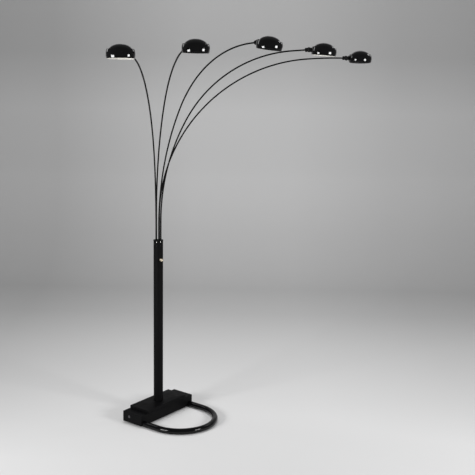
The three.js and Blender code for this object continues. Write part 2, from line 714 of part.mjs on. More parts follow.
addPiece('dimmer_knob', outOfPole(turned([
  [0, KNOB_SHAFT_END],
  [KNOB_SHAFT_RADIUS, KNOB_SHAFT_END],
  [KNOB_SHAFT_RADIUS, KNOB_RECESS_END],
  [KNOB_RECESS_RADIUS, KNOB_RECESS_END],
  [KNOB_RECESS_RADIUS, KNOB_BACK],
  [KNOB_RADIUS, KNOB_BACK],
  [KNOB_RADIUS, KNOB_FRONT - KNOB_EDGE],
  [KNOB_RADIUS - KNOB_EDGE, KNOB_FRONT],
  [0, KNOB_FRONT],
], FITTING_SIDES), DIMMER_HEADING, DIMMER_HEIGHT), BRASS);

// Arc of an ellipse in the [radius, height] plane, from one height to another
function ellipseArc(width, rise, centre, from, to, steps) {
  const points = [];
  const first = Math.asin(THREE.MathUtils.clamp((from - centre) / rise, -1, 1));
  const last = Math.asin(THREE.MathUtils.clamp((to - centre) / rise, -1, 1));
  for (let i = 0; i <= steps; i += 1) {
    const angle = first + (last - first) * i / steps;
    points.push([Math.max(width * Math.cos(angle), 0), centre + rise * Math.sin(angle)]);
  }
  return points;
}

// Shade shell about its own axis with the rim's plane at zero
const lipWidth = Math.sqrt(SHADE_RADIUS ** 2 - (BAND_TOP - BAND_CENTRE) ** 2);
const innerRadius = SHADE_RADIUS - SHADE_WALL;
const grooveUnder = GROOVE_HEIGHT - SHADE_WALL;
const shadeProfile = [
  ...ellipseArc(DOME_WIDTH, DOME_RISE, DOME_BASE, DOME_BASE + DOME_RISE, GROOVE_HEIGHT, DOME_STEPS),
  [lipWidth - SHADE_WALL, GROOVE_HEIGHT],
  [lipWidth - SHADE_WALL, BAND_TOP],
  ...ellipseArc(SHADE_RADIUS, SHADE_RADIUS, BAND_CENTRE, BAND_TOP, 0, BAND_STEPS),
  ...ellipseArc(innerRadius, innerRadius, BAND_CENTRE, 0, grooveUnder, INNER_BAND_STEPS),
  ...ellipseArc(
    DOME_WIDTH - SHADE_WALL,
    DOME_RISE - SHADE_WALL,
    DOME_BASE,
    grooveUnder,
    DOME_BASE + DOME_RISE - SHADE_WALL,
    INNER_DOME_STEPS,
  ),
];
shadeProfile[0][0] = 0;
shadeProfile[shadeProfile.length - 1][0] = 0;

// Turn a body made about +Z so that it points from the pin toward the shade, at neck height
function alongNeck(geometry) {
  return geometry.clone().rotateY(RIGHT_ANGLE).translate(0, 0, NECK_OVER_RIM);
}

const shadeHole = alongNeck(rod(CUP_NECK_HOLE, -SHADE_RADIUS - OVERSHOOT, HOLDER_WEB_FRONT, HEAD_SIDES));
const shadeShell = cut(turned(shadeProfile, SHADE_SIDES), [shadeHole]);

// Flat plate across the pin, from its side outline in the neck's upright plane
function plate(discRadius, discX, farX, halfHeight, low, high) {
  const disc = rod(discRadius, low, high, HEAD_SIDES).rotateX(-RIGHT_ANGLE).translate(discX, 0, 0);
  const bar = box([Math.min(discX, farX), low, -halfHeight], [Math.max(discX, farX), high, halfHeight]);
  return join([disc, bar]);
}

function pinHole(x) {
  return rod(PIN_RADIUS + GAP, -COLLAR_RADIUS * 2, COLLAR_RADIUS * 2, HEAD_SIDES)
    .rotateX(-RIGHT_ANGLE)
    .translate(x, 0, 0);
}

// Collar and fork about +X with the arm's end at zero
const collarBarrel = turned([
  [0, -COLLAR_SLEEVE],
  [COLLAR_RADIUS - COLLAR_EDGE, -COLLAR_SLEEVE],
  [COLLAR_RADIUS, -COLLAR_SLEEVE + COLLAR_EDGE],
  [COLLAR_RADIUS, COLLAR_WEB_END],
  [0, COLLAR_WEB_END],
], HEAD_SIDES).rotateY(RIGHT_ANGLE);
const cheekOuter = FORK_HALF_GAP + CHEEK_THICKNESS;
const cheekStart = COLLAR_WEB_END - CHEEK_OVERLAP;
const collarShell = cut(join([
  collarBarrel,
  plate(CHEEK_RADIUS, PIN_FROM_ARM_END, cheekStart, CHEEK_HALF_HEIGHT, FORK_HALF_GAP, cheekOuter),
  plate(CHEEK_RADIUS, PIN_FROM_ARM_END, cheekStart, CHEEK_HALF_HEIGHT, -cheekOuter, -FORK_HALF_GAP),
]), [
  rod(ARM_HOLE_RADIUS, -COLLAR_RADIUS, GAP, HEAD_SIDES).rotateY(RIGHT_ANGLE),
  pinHole(PIN_FROM_ARM_END),
]);

const pinHalf = cheekOuter + GAP;
const pinShell = turned([
  [0, -pinHalf - PIN_HEAD_THICKNESS],
  [PIN_HEAD_RADIUS, -pinHalf - PIN_HEAD_THICKNESS],
  [PIN_HEAD_RADIUS, -pinHalf],
  [PIN_RADIUS, -pinHalf],
  [PIN_RADIUS, pinHalf],
  [PIN_HEAD_RADIUS, pinHalf],
  [PIN_HEAD_RADIUS, pinHalf + PIN_HEAD_THICKNESS],
  [0, pinHalf + PIN_HEAD_THICKNESS],
], SMALL_SIDES).rotateX(-RIGHT_ANGLE).translate(PIN_FROM_ARM_END, 0, 0);

// Cup: a tongue on the pin, a flange against the shade's wall and a neck through it
const pinX = -PIN_TO_SHADE_AXIS;
const flangeX = pinX + FLANGE_START;
const neckEnd = -SHADE_RADIUS + CUP_NECK_INSET;
const cupTurning = alongNeck(turned([
  [0, flangeX],
  [CUP_RADIUS, flangeX],
  [CUP_RADIUS, neckEnd],
  [0, neckEnd],
], HEAD_SIDES));
const shadeBall = new THREE.SphereGeometry(SHADE_RADIUS + GAP, BALL_WIDTH_SIDES, BALL_HEIGHT_SIDES)
  .translate(0, 0, BAND_CENTRE);
const flange = cut(cupTurning, [shadeBall]);
const cupNeck = alongNeck(rod(CUP_NECK_RADIUS, flangeX, neckEnd, HEAD_SIDES));
const tongueBar = flangeX + CUP_BORE_START / 2;
const tongue = plate(
  TONGUE_RADIUS,
  pinX,
  tongueBar,
  TONGUE_HALF_HEIGHT,
  -TONGUE_HALF_THICKNESS,
  TONGUE_HALF_THICKNESS,
).translate(0, 0, NECK_OVER_RIM);
const cupShell = cut(join([flange, cupNeck, tongue]), [
  alongNeck(rod(CUP_BORE_RADIUS, flangeX + CUP_BORE_START, neckEnd + OVERSHOOT, HEAD_SIDES)),
  pinHole(pinX).translate(0, 0, NECK_OVER_RIM),
]);

// Lampholder clamps the shade's wall from inside and takes the bulb's base
const holderBlank = alongNeck(rod(HOLDER_RADIUS, -SHADE_RADIUS, HOLDER_FRONT, HEAD_SIDES));
const innerBall = new THREE.SphereGeometry(
  innerRadius - FACET_SINK - GAP,
  BALL_WIDTH_SIDES,
  BALL_HEIGHT_SIDES,
).translate(0, 0, BAND_CENTRE);
const holderTrimmed = fromSolid(solid(holderBlank).intersect(solid(innerBall)));
const holderShell = cut(holderTrimmed, [
  alongNeck(rod(CUP_NECK_HOLE, -SHADE_RADIUS - OVERSHOOT, HOLDER_WEB_BACK, HEAD_SIDES)),
  alongNeck(rod(HOLDER_WIRE_RADIUS, -SHADE_RADIUS, HOLDER_FRONT, SMALL_SIDES)),
  alongNeck(rod(HOLDER_BORE_RADIUS, HOLDER_WEB_FRONT, HOLDER_FRONT + OVERSHOOT, HEAD_SIDES)),
]);
const bulbNeckX = BULB_CENTRE - Math.sqrt(BULB_RADIUS ** 2 - BULB_BASE_RADIUS ** 2);
const bulbShell = alongNeck(turned([
  [0, HOLDER_WEB_FRONT + GAP],
  [BULB_BASE_RADIUS, HOLDER_WEB_FRONT + GAP],
  ...ellipseArc(BULB_RADIUS, BULB_RADIUS, BULB_CENTRE, bulbNeckX, BULB_CENTRE + BULB_RADIUS, BULB_STEPS),
], BULB_SIDES));

// Arms with their heads
const up = new THREE.Vector3(0, 0, 1);
ARMS.forEach((arm, index) => {
  const number = index + 1;
  const heading = floorward(arm.heading);
  const foot = armHoles[index].clone().setZ(ARM_FOOT);
  const path = new BentLine(foot, up, heading, [
    { length: CAP_TOP - ARM_FOOT + arm.rise },
    ...arm.bends.map(([radius, sweep]) => ({ radius, sweep })),
    { length: arm.tail },
  ], ARM_STEP);
  const armTube = tube(path, ARM_RADIUS, ARM_RADIUS - ARM_WALL, ARM_OUTER_SIDES, ARM_BORE_SIDES);
  addPiece(`arm_${number}`, armTube, BLACK_PAINT);

  const end = path.getPoint(1);
  const tangent = heading.clone().multiplyScalar(Math.sin(path.endTurn));
  tangent.addScaledVector(up, Math.cos(path.endTurn));
  const side = new THREE.Vector3().crossVectors(up, heading);
  const crown = new THREE.Vector3().crossVectors(tangent, side);
  const collarFrame = new THREE.Matrix4().makeBasis(tangent, side, crown).setPosition(end);
  collarFrame.multiply(new THREE.Matrix4().makeRotationX(radians(arm.roll)));
  addPiece(`swivel_collar_${number}`, collarShell.clone().applyMatrix4(collarFrame), BLACK_PAINT);
  addPiece(`pivot_pin_${number}`, pinShell.clone().applyMatrix4(collarFrame), DARK_STEEL);

  const nod = RIGHT_ANGLE - path.endTurn + radians(arm.droop);
  const headFrame = collarFrame.clone()
    .multiply(new THREE.Matrix4().makeTranslation(PIN_FROM_ARM_END, 0, 0))
    .multiply(new THREE.Matrix4().makeRotationY(nod))
    .multiply(new THREE.Matrix4().makeTranslation(PIN_TO_SHADE_AXIS, 0, -NECK_OVER_RIM));
  addPiece(`lamp_cup_${number}`, cupShell.clone().applyMatrix4(headFrame), BLACK_PAINT);
  addPiece(`shade_${number}`, shadeShell.clone().applyMatrix4(headFrame), BLACK_PAINT);
  addPiece(`lampholder_${number}`, holderShell.clone().applyMatrix4(headFrame), CERAMIC);
  addPiece(`bulb_${number}`, bulbShell.clone().applyMatrix4(headFrame), GLASS);
});

export default lamp;
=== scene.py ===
import json
import math
import bpy
import bmesh
import numpy as np
from mathutils import Matrix, Vector


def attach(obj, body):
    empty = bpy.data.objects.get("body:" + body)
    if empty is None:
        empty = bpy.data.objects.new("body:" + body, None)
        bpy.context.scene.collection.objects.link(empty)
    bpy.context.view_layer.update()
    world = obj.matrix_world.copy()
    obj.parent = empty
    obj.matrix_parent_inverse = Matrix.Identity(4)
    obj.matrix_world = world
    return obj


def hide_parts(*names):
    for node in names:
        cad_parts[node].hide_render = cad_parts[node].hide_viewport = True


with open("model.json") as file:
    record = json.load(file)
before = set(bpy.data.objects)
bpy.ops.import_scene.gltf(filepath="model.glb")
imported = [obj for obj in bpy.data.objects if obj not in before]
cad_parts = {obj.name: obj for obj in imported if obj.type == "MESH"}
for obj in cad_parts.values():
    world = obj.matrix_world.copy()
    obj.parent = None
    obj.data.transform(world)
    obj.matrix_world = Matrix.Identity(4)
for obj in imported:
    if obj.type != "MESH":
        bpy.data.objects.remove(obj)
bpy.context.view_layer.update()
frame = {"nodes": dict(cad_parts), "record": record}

mm = 0.001
seatGap = 0.3  # mm left between pieces that touch
slipGap = 0.4  # mm left round a rod in its hole
sameSpot = 1e-6  # metres within which two points are one
crease = math.radians(35)  # faces that meet more sharply than this keep a hard edge
noiseLow, noiseHigh = 0.3, 0.7  # nearly all of a noise texture lies between these
waveTurn = math.pi / 10  # a wave texture of scale 1 repeats at this length

# the photograph's camera, found by fitting the base, the pole and the loop
view = {
    "place": (-3600.6, -3230.8, 1983.6),
    "right": (0.60329, -0.79735, 0.01677),
    "up": (0.14991, 0.13402, 0.97957),
    "forward": (0.78331, 0.58845, -0.20039),
    "lens": 70.23,
    "sensor": 36.0,
    "far": 80.0,
}

cameraData = bpy.data.cameras.new("photo_camera")
cameraData.lens = view["lens"]
cameraData.sensor_width = view["sensor"]
cameraData.sensor_fit = "HORIZONTAL"
cameraData.clip_end = view["far"]
camera = bpy.data.objects.new("photo_camera", cameraData)
bpy.context.scene.collection.objects.link(camera)
turn = Matrix((view["right"], view["up"], [-part for part in view["forward"]])).transposed()
camera.matrix_world = Matrix.Translation(Vector(view["place"]) * mm) @ turn.to_4x4()
bpy.context.scene.camera = camera
bpy.context.scene.view_settings.view_transform = "Standard"
print("camera placed")


def linear(hexText):
    # sRGB hex to linear: a straight line below 0.04045, a power of 2.4 above it
    parts = np.array([int(hexText[i:i + 2], 16) for i in (1, 3, 5)]) / 255.0
    flat = np.where(parts <= 0.04045, parts / 12.92, ((parts + 0.055) / 1.055) ** 2.4)
    return (*[float(value) for value in flat], 1.0)


def addNode(tree, kind, inputs=None, **settings):
    # an input is either a value or the output that feeds it
    node = tree.nodes.new(kind)
    for key, value in settings.items():
        setattr(node, key, value)
    for socket, value in (inputs or {}).items():
        if isinstance(value, bpy.types.NodeSocket):
            tree.links.new(value, node.inputs[socket])
        else:
            node.inputs[socket].default_value = value
    return node


def setRamp(node, stops):
    # stops of (place along the ramp, colour)
    ramp = node.color_ramp
    while len(ramp.elements) < len(stops):
        ramp.elements.new(0.5)
    for element, (spot, colour) in zip(ramp.elements, stops):
        element.position = spot
        element.color = colour


def scaleOf(size):
    # the scale of a texture whose waves are about that many millimetres across
    return 1.0 / (size * mm)


def makeFinish(name, look, **changes):
    # a cloudy noise gives the tone and, where "rough" is a pair, the roughness between the two;
    # the relief is a finer noise, a row of marks, or else the same cloud
    look = {**look, **changes}
    finish = bpy.data.materials.new(name)
    finish.use_nodes = True
    tree = finish.node_tree
    tree.nodes.clear()
    place = addNode(tree, "ShaderNodeTexCoord").outputs["Object"]
    cloud = addNode(tree, "ShaderNodeTexNoise", {
        "Vector": place, "Scale": scaleOf(look["cloud"]), "Detail": look["cloudDetail"]}).outputs["Fac"]
    tone = addNode(tree, "ShaderNodeValToRGB", {"Fac": cloud})
    setRamp(tone, list(zip(look["spots"], (linear(look["dark"]), linear(look["light"])))))
    relief = cloud
    if "grain" in look:
        relief = addNode(tree, "ShaderNodeTexNoise", {
            "Vector": place, "Scale": scaleOf(look["grain"]), "Detail": look["grainDetail"]}).outputs["Fac"]
    if "marks" in look:
        relief = addNode(tree, "ShaderNodeTexWave", {
            "Vector": place, "Scale": waveTurn * scaleOf(look["marks"]), "Distortion": 1.0},
            bands_direction="Z").outputs["Fac"]
    bump = addNode(tree, "ShaderNodeBump", {
        "Height": relief, "Strength": look["reliefShare"], "Distance": look["reliefHeight"] * mm})
    shader = addNode(tree, "ShaderNodeBsdfPrincipled", {
        "Base Color": tone.outputs["Color"], "Normal": bump.outputs["Normal"], **look["fixed"]})
    if "rough" in look:
        low, high = look["rough"]
        rough = addNode(tree, "ShaderNodeMapRange", {
            "Value": cloud, "From Min": noiseLow, "From Max": noiseHigh, "To Min": low, "To Max": high})
        tree.links.new(rough.outputs["Result"], shader.inputs["Roughness"])
    addNode(tree, "ShaderNodeOutputMaterial", {"Surface": shader.outputs["BSDF"]})
    return finish


# every size in these dictionaries is in millimetres

# sprayed enamel on steel: deep black, with a faint orange peel and a little dust in the film
enamel = {
    "dark": "#050506", "light": "#0b0b0c", "spots": (0.35, 0.8), "cloud": 26.0, "cloudDetail": 4.0,
    "grain": 2.2, "grainDetail": 1.0, "reliefShare": 0.12, "reliefHeight": 0.02,
}
# white enamel baked inside the shades: slightly warm, with a soft gloss
whiteEnamel = {
    "dark": "#e4e2dc", "light": "#f2f1ed", "spots": (0.3, 0.7), "cloud": 18.0, "cloudDetail": 3.0,
    "grain": 1.8, "grainDetail": 2.0, "reliefShare": 0.1, "reliefHeight": 0.02, "fixed": {"Roughness": 0.32},
}
# grey iron as it leaves the sand: a dull, rough grain with a touch of rust
castIron = {
    "dark": "#2c2c2d", "light": "#4a4643", "spots": (0.3, 0.75), "cloud": 2.5, "cloudDetail": 6.0,
    "reliefShare": 0.6, "reliefHeight": 0.3, "fixed": {"Metallic": 0.4, "Roughness": 0.75},
}
# turned metal: a little dulled, with turning marks drawn coarser than real ones so that they show
turnedMetal = {
    "spots": (0.3, 0.7), "cloud": 3.0, "cloudDetail": 4.0, "marks": 3.77,
    "reliefShare": 0.08, "reliefHeight": 0.02,
}
# moulded plastic and rubber: the fine even grain of a spark-eroded mould
moulded = {"spots": (0.35, 0.7), "cloudDetail": 3.0, "reliefShare": 0.25, "reliefHeight": 0.05}
# bulb glass etched inside: pale and soft, with a little light through it
frostedGlass = {
    "dark": "#efece4", "light": "#faf8f2", "spots": (0.3, 0.7), "cloud": 1.2, "cloudDetail": 2.0,
    "reliefShare": 0.05, "reliefHeight": 0.02,
    "fixed": {"Roughness": 0.25, "Transmission Weight": 0.25, "IOR": 1.5},
}

finishes = {
    # satin blacks, which hardly mirror anything
    "black_lacquer": makeFinish("satin_black_enamel_on_sheet_steel", enamel,
                                rough=(0.5, 0.62), fixed={"IOR": 1.21}),
    "black_pole": makeFinish("satin_black_enamel_on_pole", enamel, rough=(0.56, 0.68), fixed={"IOR": 1.2}),
    "black_cap": makeFinish("satin_black_enamel_on_cap", enamel, rough=(0.5, 0.6), fixed={"IOR": 1.22}),
    "black_arm": makeFinish("satin_black_enamel_on_thin_tube", enamel,
                            rough=(0.45, 0.55), fixed={"IOR": 1.2}),
    "black_collar": makeFinish("satin_black_enamel_on_turned_neck", enamel,
                               rough=(0.42, 0.52), fixed={"IOR": 1.24}),
    # gloss blacks, which show the box lamps as small bright spots
    "black_tube": makeFinish("gloss_black_enamel_on_bent_tube", enamel,
                             rough=(0.08, 0.14), fixed={"IOR": 1.36}),
    "black_shade": makeFinish("gloss_black_enamel_on_spun_shade", enamel,
                              rough=(0.05, 0.09), fixed={"IOR": 1.5}),
    "white_inside": makeFinish("white_baked_enamel", whiteEnamel),
    "cast_iron": makeFinish("sand_cast_iron", castIron),
    "black_pin": makeFinish("blackened_steel_pin", turnedMetal, light="#2b2b2d", dark="#151516",
                            rough=(0.3, 0.45), fixed={"Metallic": 0.8}),
    "plated_steel": makeFinish("bright_zinc_plated_steel", turnedMetal, light="#d6d6d3", dark="#b4b4b1",
                               rough=(0.18, 0.34), fixed={"Metallic": 1.0}),
    "pale_brass": makeFinish("turned_pale_brass", turnedMetal, light="#f4ead8", dark="#e3d2b4",
                             rough=(0.24, 0.38), fixed={"Metallic": 0.7}),
    "black_plastic": makeFinish("moulded_black_abs", moulded, light="#1c1c1d", dark="#101011",
                                cloud=1.0, fixed={"Roughness": 0.5}),
    "grey_rubber": makeFinish("moulded_grey_rubber", moulded, light="#5c5c5f", dark="#4a4a4c",
                              cloud=1.2, fixed={"Roughness": 0.6}),
    "white_holder": makeFinish("white_moulded_phenolic", moulded, light="#efece6", dark="#e0ddd6",
                               cloud=2.0, fixed={"Roughness": 0.35}),
    "frosted_glass": makeFinish("frosted_bulb_glass", frostedGlass),
}
print("finishes made:", len(finishes))

slotOf = {part["node"]: part["material_slot"] for part in frame["record"]["subparts"]}
for nodeName, node in frame["nodes"].items():
    finish = finishes[slotOf.get(nodeName, "black_plastic")]
    if not node.material_slots:
        node.data.materials.append(finish)
    for socket in node.material_slots:
        socket.material = finish
print("nodes finished:", len(frame["nodes"]))


def closedMesh(name, points, faces, materials=(), faceMaterials=None):
    # points in millimetres; double points become one, and every face is turned outwards
    mesh = bpy.data.meshes.new(name)
    mesh.from_pydata((np.asarray(points) * mm).tolist(), [], np.asarray(faces).tolist())
    for finish in materials:
        mesh.materials.append(finish)
    if faceMaterials is not None:
        mesh.polygons.foreach_set("material_index", faceMaterials)
    work = bmesh.new()
    work.from_mesh(mesh)
    bmesh.ops.remove_doubles(work, verts=work.verts, dist=sameSpot)
    bmesh.ops.recalc_face_normals(work, faces=work.faces)
    work.to_mesh(mesh)
    work.free()
    return mesh


def linkObject(name, data):
    # a new object at the origin, unturned, in the scene
    made = bpy.data.objects.new(name, data)
    bpy.context.scene.collection.objects.link(made)
    return made


def addPiece(name, points, faces, body, slot, nodes, materials=None, faceMaterials=None):
    # smooth faces with hard creases, riding a body in place of the CAD's nodes
    mesh = closedMesh(name, points, faces, materials or [finishes[slot]], faceMaterials)
    mesh.shade_smooth()
    mesh.set_sharp_from_angle(angle=crease)
    piece = linkObject(name, mesh)
    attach(piece, body)
    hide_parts(*nodes)
    return piece


def gridFaces(rows, columns, closeRows, closeColumns):
    # quads between each row of points and the next, wrapped round where asked
    index = np.arange(rows * columns).reshape(rows, columns)
    if closeRows:
        index = np.vstack([index, index[:1]])
    if closeColumns:
        index = np.hstack([index, index[:, :1]])
    corners = [index[:-1, :-1], index[1:, :-1], index[1:, 1:], index[:-1, 1:]]
    return np.stack([corner.ravel() for corner in corners], axis=1)


def softCorners(rows, steps=4):
    # rows of (out, up, rounding): each corner gives way to an arc of that radius, whose points
    # at angle a lie on a circle tangent to both sides
    rows = np.asarray(rows, dtype=float)
    corners, radii = rows[:, :2], rows[:, 2]
    out = []
    last = len(corners) - 1
    for i, (corner, radius) in enumerate(zip(corners, radii)):
        if radius <= 0 or i in (0, last):
            out.append(corner[None])
            continue
        into = corners[i - 1] - corner
        away = corners[i + 1] - corner
        into, away = into / np.linalg.norm(into), away / np.linalg.norm(away)
        half = math.acos(float(np.clip(into @ away, -1, 1))) / 2
        reach = radius / math.tan(half)
        middle = corner + (into + away) / np.linalg.norm(into + away) * radius / math.sin(half)
        first = corner + into * reach - middle
        final = corner + away * reach - middle
        swing = math.pi - 2 * half
        share = np.linspace(0, 1, steps + 1)[:, None]
        blended = (np.sin((1 - share) * swing) * first + np.sin(share * swing) * final) / math.sin(swing)
        out.append(middle + blended)
    return np.vstack(out)


def revolve(profile, sides):
    # profile of (radius, height) turned about Z: x = r cos a, y = r sin a
    profile = np.asarray(profile, dtype=float)
    angle = np.linspace(0, 2 * math.pi, sides, endpoint=False)
    x = profile[:, :1] * np.cos(angle)
    y = profile[:, :1] * np.sin(angle)
    z = np.repeat(profile[:, 1:], sides, axis=1)
    return np.stack([x, y, z], axis=-1)


def placed(points, matrix):
    # points carried by a 4x4 whose lengths are in millimetres
    flat = np.asarray(points, dtype=float).reshape(-1, 3)
    rows = np.array(matrix)
    return flat @ rows[:3, :3].T + rows[:3, 3]


def turnedPiece(name, profile, sides, matrix, body, slot, nodes, ringed=False):
    # a revolved profile; a ringed one closes on itself instead of on the axis
    points = revolve(profile, sides)
    faces = gridFaces(len(profile), sides, ringed, True)
    return addPiece(name, placed(points, matrix), faces, body, slot, nodes)


def rodCutter(radius, low, high, matrix, sides=48):
    # a closed cylinder along the matrix's Z, from low to high
    profile = [(0, low), (radius, low), (radius, high), (0, high)]
    faces = gridFaces(len(profile), sides, False, True)
    return linkObject("cutter", closedMesh("cutter", placed(revolve(profile, sides), matrix), faces))


def atHeight(outline, height):
    # a flat outline as points at one height
    return np.hstack([outline, np.full((len(outline), 1), height)])


def boxCutter(low, high):
    # the box between two opposite corners
    low, high = np.array(low, dtype=float), np.array(high, dtype=float)
    ring = np.array([[0, 0], [1, 0], [1, 1], [0, 1]])
    points = low + np.vstack([atHeight(ring, 0), atHeight(ring, 1)]) * (high - low)
    faces = [[0, 1, 2, 3], [4, 5, 6, 7], [0, 1, 5, 4], [1, 2, 6, 5], [2, 3, 7, 6], [3, 0, 4, 7]]
    return linkObject("cutter", closedMesh("cutter", points, faces))


def carve(piece, cutters):
    # the cutters' spaces are taken out of the piece, and the result is kept as its mesh
    for cutter in cutters:
        hollow = piece.modifiers.new("hollow", "BOOLEAN")
        hollow.operation = "DIFFERENCE"
        hollow.solver = "EXACT"
        hollow.object = cutter
    bpy.context.view_layer.update()
    graph = bpy.context.evaluated_depsgraph_get()
    mesh = bpy.data.meshes.new_from_object(piece.evaluated_get(graph))
    piece.modifiers.clear()
    piece.data = mesh
    mesh.set_sharp_from_angle(angle=crease)
    for cutter in cutters:
        bpy.data.objects.remove(cutter)


level = Matrix.Identity(4)
upward = Vector((0, 0, 1))
alongX = Matrix.Rotation(math.pi / 2, 4, "Y")  # lays a turned profile along X


def floorward(heading):
    # unit vector over the floor, clockwise from the loop's direction as seen from above
    angle = math.radians(heading)
    return Vector((-math.sin(angle), -math.cos(angle), 0.0))


def basis(x, y, z, origin):
    # the 4x4 that carries the three axes to these directions, and zero to the origin
    matrix = Matrix((x, y, z)).transposed().to_4x4()
    matrix.translation = Vector(origin)
    return matrix


def outOfPole(heading, height):
    # the piece's own Z points out of the pole
    out = floorward(heading)
    return basis(upward.cross(out), upward, out, (0, 0, height))


loop = {
    "bend": 186.5, "radius": 16.0, "bore": 14.0, "height": 16.0, "end": 36.0, "bendStart": -160.0,
    "sides": 40, "spacing": 8.0,
}
pole = {"radius": 25.4, "wall": 1.5, "foot": 18.6, "top": 972.7, "edge": 0.5, "sides": 96}

# folded sheet: arcs at the edges and corners, and long sides cut into parts
shell = {"edgeSteps": 5, "cornerSteps": 6, "leastCorner": 0.2, "sideParts": 14, "longSide": 40.0}
housing = {
    "length": 420.0, "depth": 134.0, "bottom": 8.0, "top": 63.4, "corner": 4.0, "edge": 1.4, "wall": 2.0,
    "hole": pole["radius"] + slipGap, "notch": loop["radius"] + slipGap, "notchFrom": 20.0, "notchTo": 100.0,
    "inletY": 20.0, "inletZ": 41.0, "inletHole": 5.9, "inletFrom": -6.0, "inletTo": 4.0,
}
cover = {
    "length": 312.8, "depth": 131.0, "bottom": 63.7, "top": 78.8, "corner": 3.5, "edge": 1.4, "wall": 2.0,
    "hole": pole["radius"] + slipGap,
}


def spread(outline):
    # the same outline with points added along its long straight sides
    along = np.roll(outline, -1, axis=0) - outline
    parts = np.where(np.linalg.norm(along, axis=1) > shell["longSide"], shell["sideParts"], 1)
    start = np.repeat(np.arange(len(outline)), parts)
    step = np.arange(len(start)) - np.repeat(np.cumsum(parts) - parts, parts)
    return outline[start] + along[start] * (step / parts[start])[:, None]


def blockOutline(size, inset):
    # a quarter circle about each corner's centre, with straight sides between, drawn in by the inset
    x, y = size["length"] / 2 - inset, size["depth"] / 2 - inset
    radius = max(size["corner"] - inset, shell["leastCorner"])
    turns = np.linspace(0, math.pi / 2, shell["cornerSteps"])
    arcs = []
    for quarter, (sx, sy) in enumerate(((1, 1), (-1, 1), (-1, -1), (1, -1))):
        angle = turns + quarter * math.pi / 2
        centre = np.array([sx * (x - radius), sy * (y - radius)])
        arcs.append(centre + radius * np.stack([np.cos(angle), np.sin(angle)], axis=1))
    return spread(np.vstack(arcs))


def holeRing(radius, outline):
    # points on the hole in the same directions as the outline's
    angle = np.arctan2(outline[:, 1], outline[:, 0])
    return radius * np.stack([np.cos(angle), np.sin(angle)], axis=1)


def boxShell(name, size, nodes):
    # rings: outer wall up, round the top edge, in to the pole's hole, and back down inside
    roof, ceiling, edge = size["top"], size["top"] - size["wall"], size["edge"]
    outer = [(0.0, size["bottom"])]
    outer += [(edge * (1 - math.cos(a)), roof - edge * (1 - math.sin(a)))
              for a in np.linspace(0, math.pi / 2, shell["edgeSteps"])]
    rings = [atHeight(blockOutline(size, inset), height) for inset, height in outer]
    hole = holeRing(size["hole"], blockOutline(size, 0))
    inner = blockOutline(size, size["wall"])
    rings += [atHeight(hole, roof), atHeight(hole, ceiling)]
    rings += [atHeight(inner, ceiling), atHeight(inner, size["bottom"])]
    points = np.stack(rings)
    faces = gridFaces(len(rings), points.shape[1], True, True)
    return addPiece(name, points.reshape(-1, 3), faces, "base", "black_lacquer", nodes)


housingPiece = boxShell("base_housing_shell", housing, ["base_housing"])
cutters = []
for side in (-1, 1):
    x = side * loop["bend"]
    forward = basis((1, 0, 0), (0, 0, 1), (0, -1, 0), (x, 0, loop["height"]))
    cutters.append(rodCutter(housing["notch"], housing["notchFrom"], housing["notchTo"], forward))
    cutters.append(boxCutter((x - housing["notch"], -housing["notchTo"], 0),
                             (x + housing["notch"], -housing["notchFrom"], loop["height"])))
inletOut = basis((0, 1, 0), (0, 0, -1), (-1, 0, 0),
                 (-housing["length"] / 2, housing["inletY"], housing["inletZ"]))
cutters.append(rodCutter(housing["inletHole"], housing["inletFrom"], housing["inletTo"], inletOut))
carve(housingPiece, cutters)
boxShell("base_cover_shell", cover, ["base_top_cover"])
print("base made")


def sweptTube(name, path, across, size, body, slot, nodes):
    # a circle carried along a plane path: out along the outside and back along the bore
    ahead = np.gradient(path, axis=0)
    ahead /= np.linalg.norm(ahead, axis=1, keepdims=True)
    flat = np.repeat(np.asarray(across, dtype=float)[None], len(path), axis=0)
    upright = np.cross(ahead, flat)
    angle = np.linspace(0, 2 * math.pi, size["sides"], endpoint=False)
    circle = flat[:, None] * np.cos(angle)[None, :, None] + upright[:, None] * np.sin(angle)[None, :, None]
    outside = path[:, None] + circle * size["radius"]
    inside = (path[:, None] + circle * size["bore"])[::-1]
    points = np.concatenate([outside, inside])
    faces = gridFaces(len(points), size["sides"], True, True)
    return addPiece(name, points.reshape(-1, 3), faces, body, slot, nodes)


def bentPath(start, along, toward, stretches, spacing):
    # straights and tangent arcs in one plane; t is the turn so far, and an arc adds
    # R (cos t - cos t') sideways and R (sin t' - sin t) ahead
    start, along, toward = (np.asarray(part, dtype=float) for part in (start, along, toward))
    spots = [np.zeros((1, 2))]
    turned = 0.0
    for stretch in stretches:
        base = spots[-1][-1]
        if "sweep" in stretch:
            swing, radius = math.radians(stretch["sweep"]), stretch["radius"]
            count = max(int(swing * radius / spacing), 6)
            t = turned + swing * np.linspace(0, 1, count + 1)[1:]
            side = radius * (math.cos(turned) - np.cos(t))
            ahead = radius * (np.sin(t) - math.sin(turned))
            turned += swing
        else:
            count = max(int(stretch["length"] / spacing / 2), 2)
            run = stretch["length"] * np.linspace(0, 1, count + 1)[1:]
            side, ahead = run * math.sin(turned), run * math.cos(turned)
        spots.append(base + np.stack([side, ahead], axis=1))
    flat = np.vstack(spots)
    return start + flat[:, :1] * toward + flat[:, 1:] * along, turned


leg = loop["end"] - loop["bendStart"]
loopPath, _ = bentPath(
    (loop["bend"], loop["end"], loop["height"]), (0, -1, 0), (-1, 0, 0),
    [{"length": leg}, {"radius": loop["bend"], "sweep": 180}, {"length": leg}], loop["spacing"])
sweptTube("floor_loop", loopPath, upward, loop, "base", "black_tube", ["loop_tube"])
print("loop made")

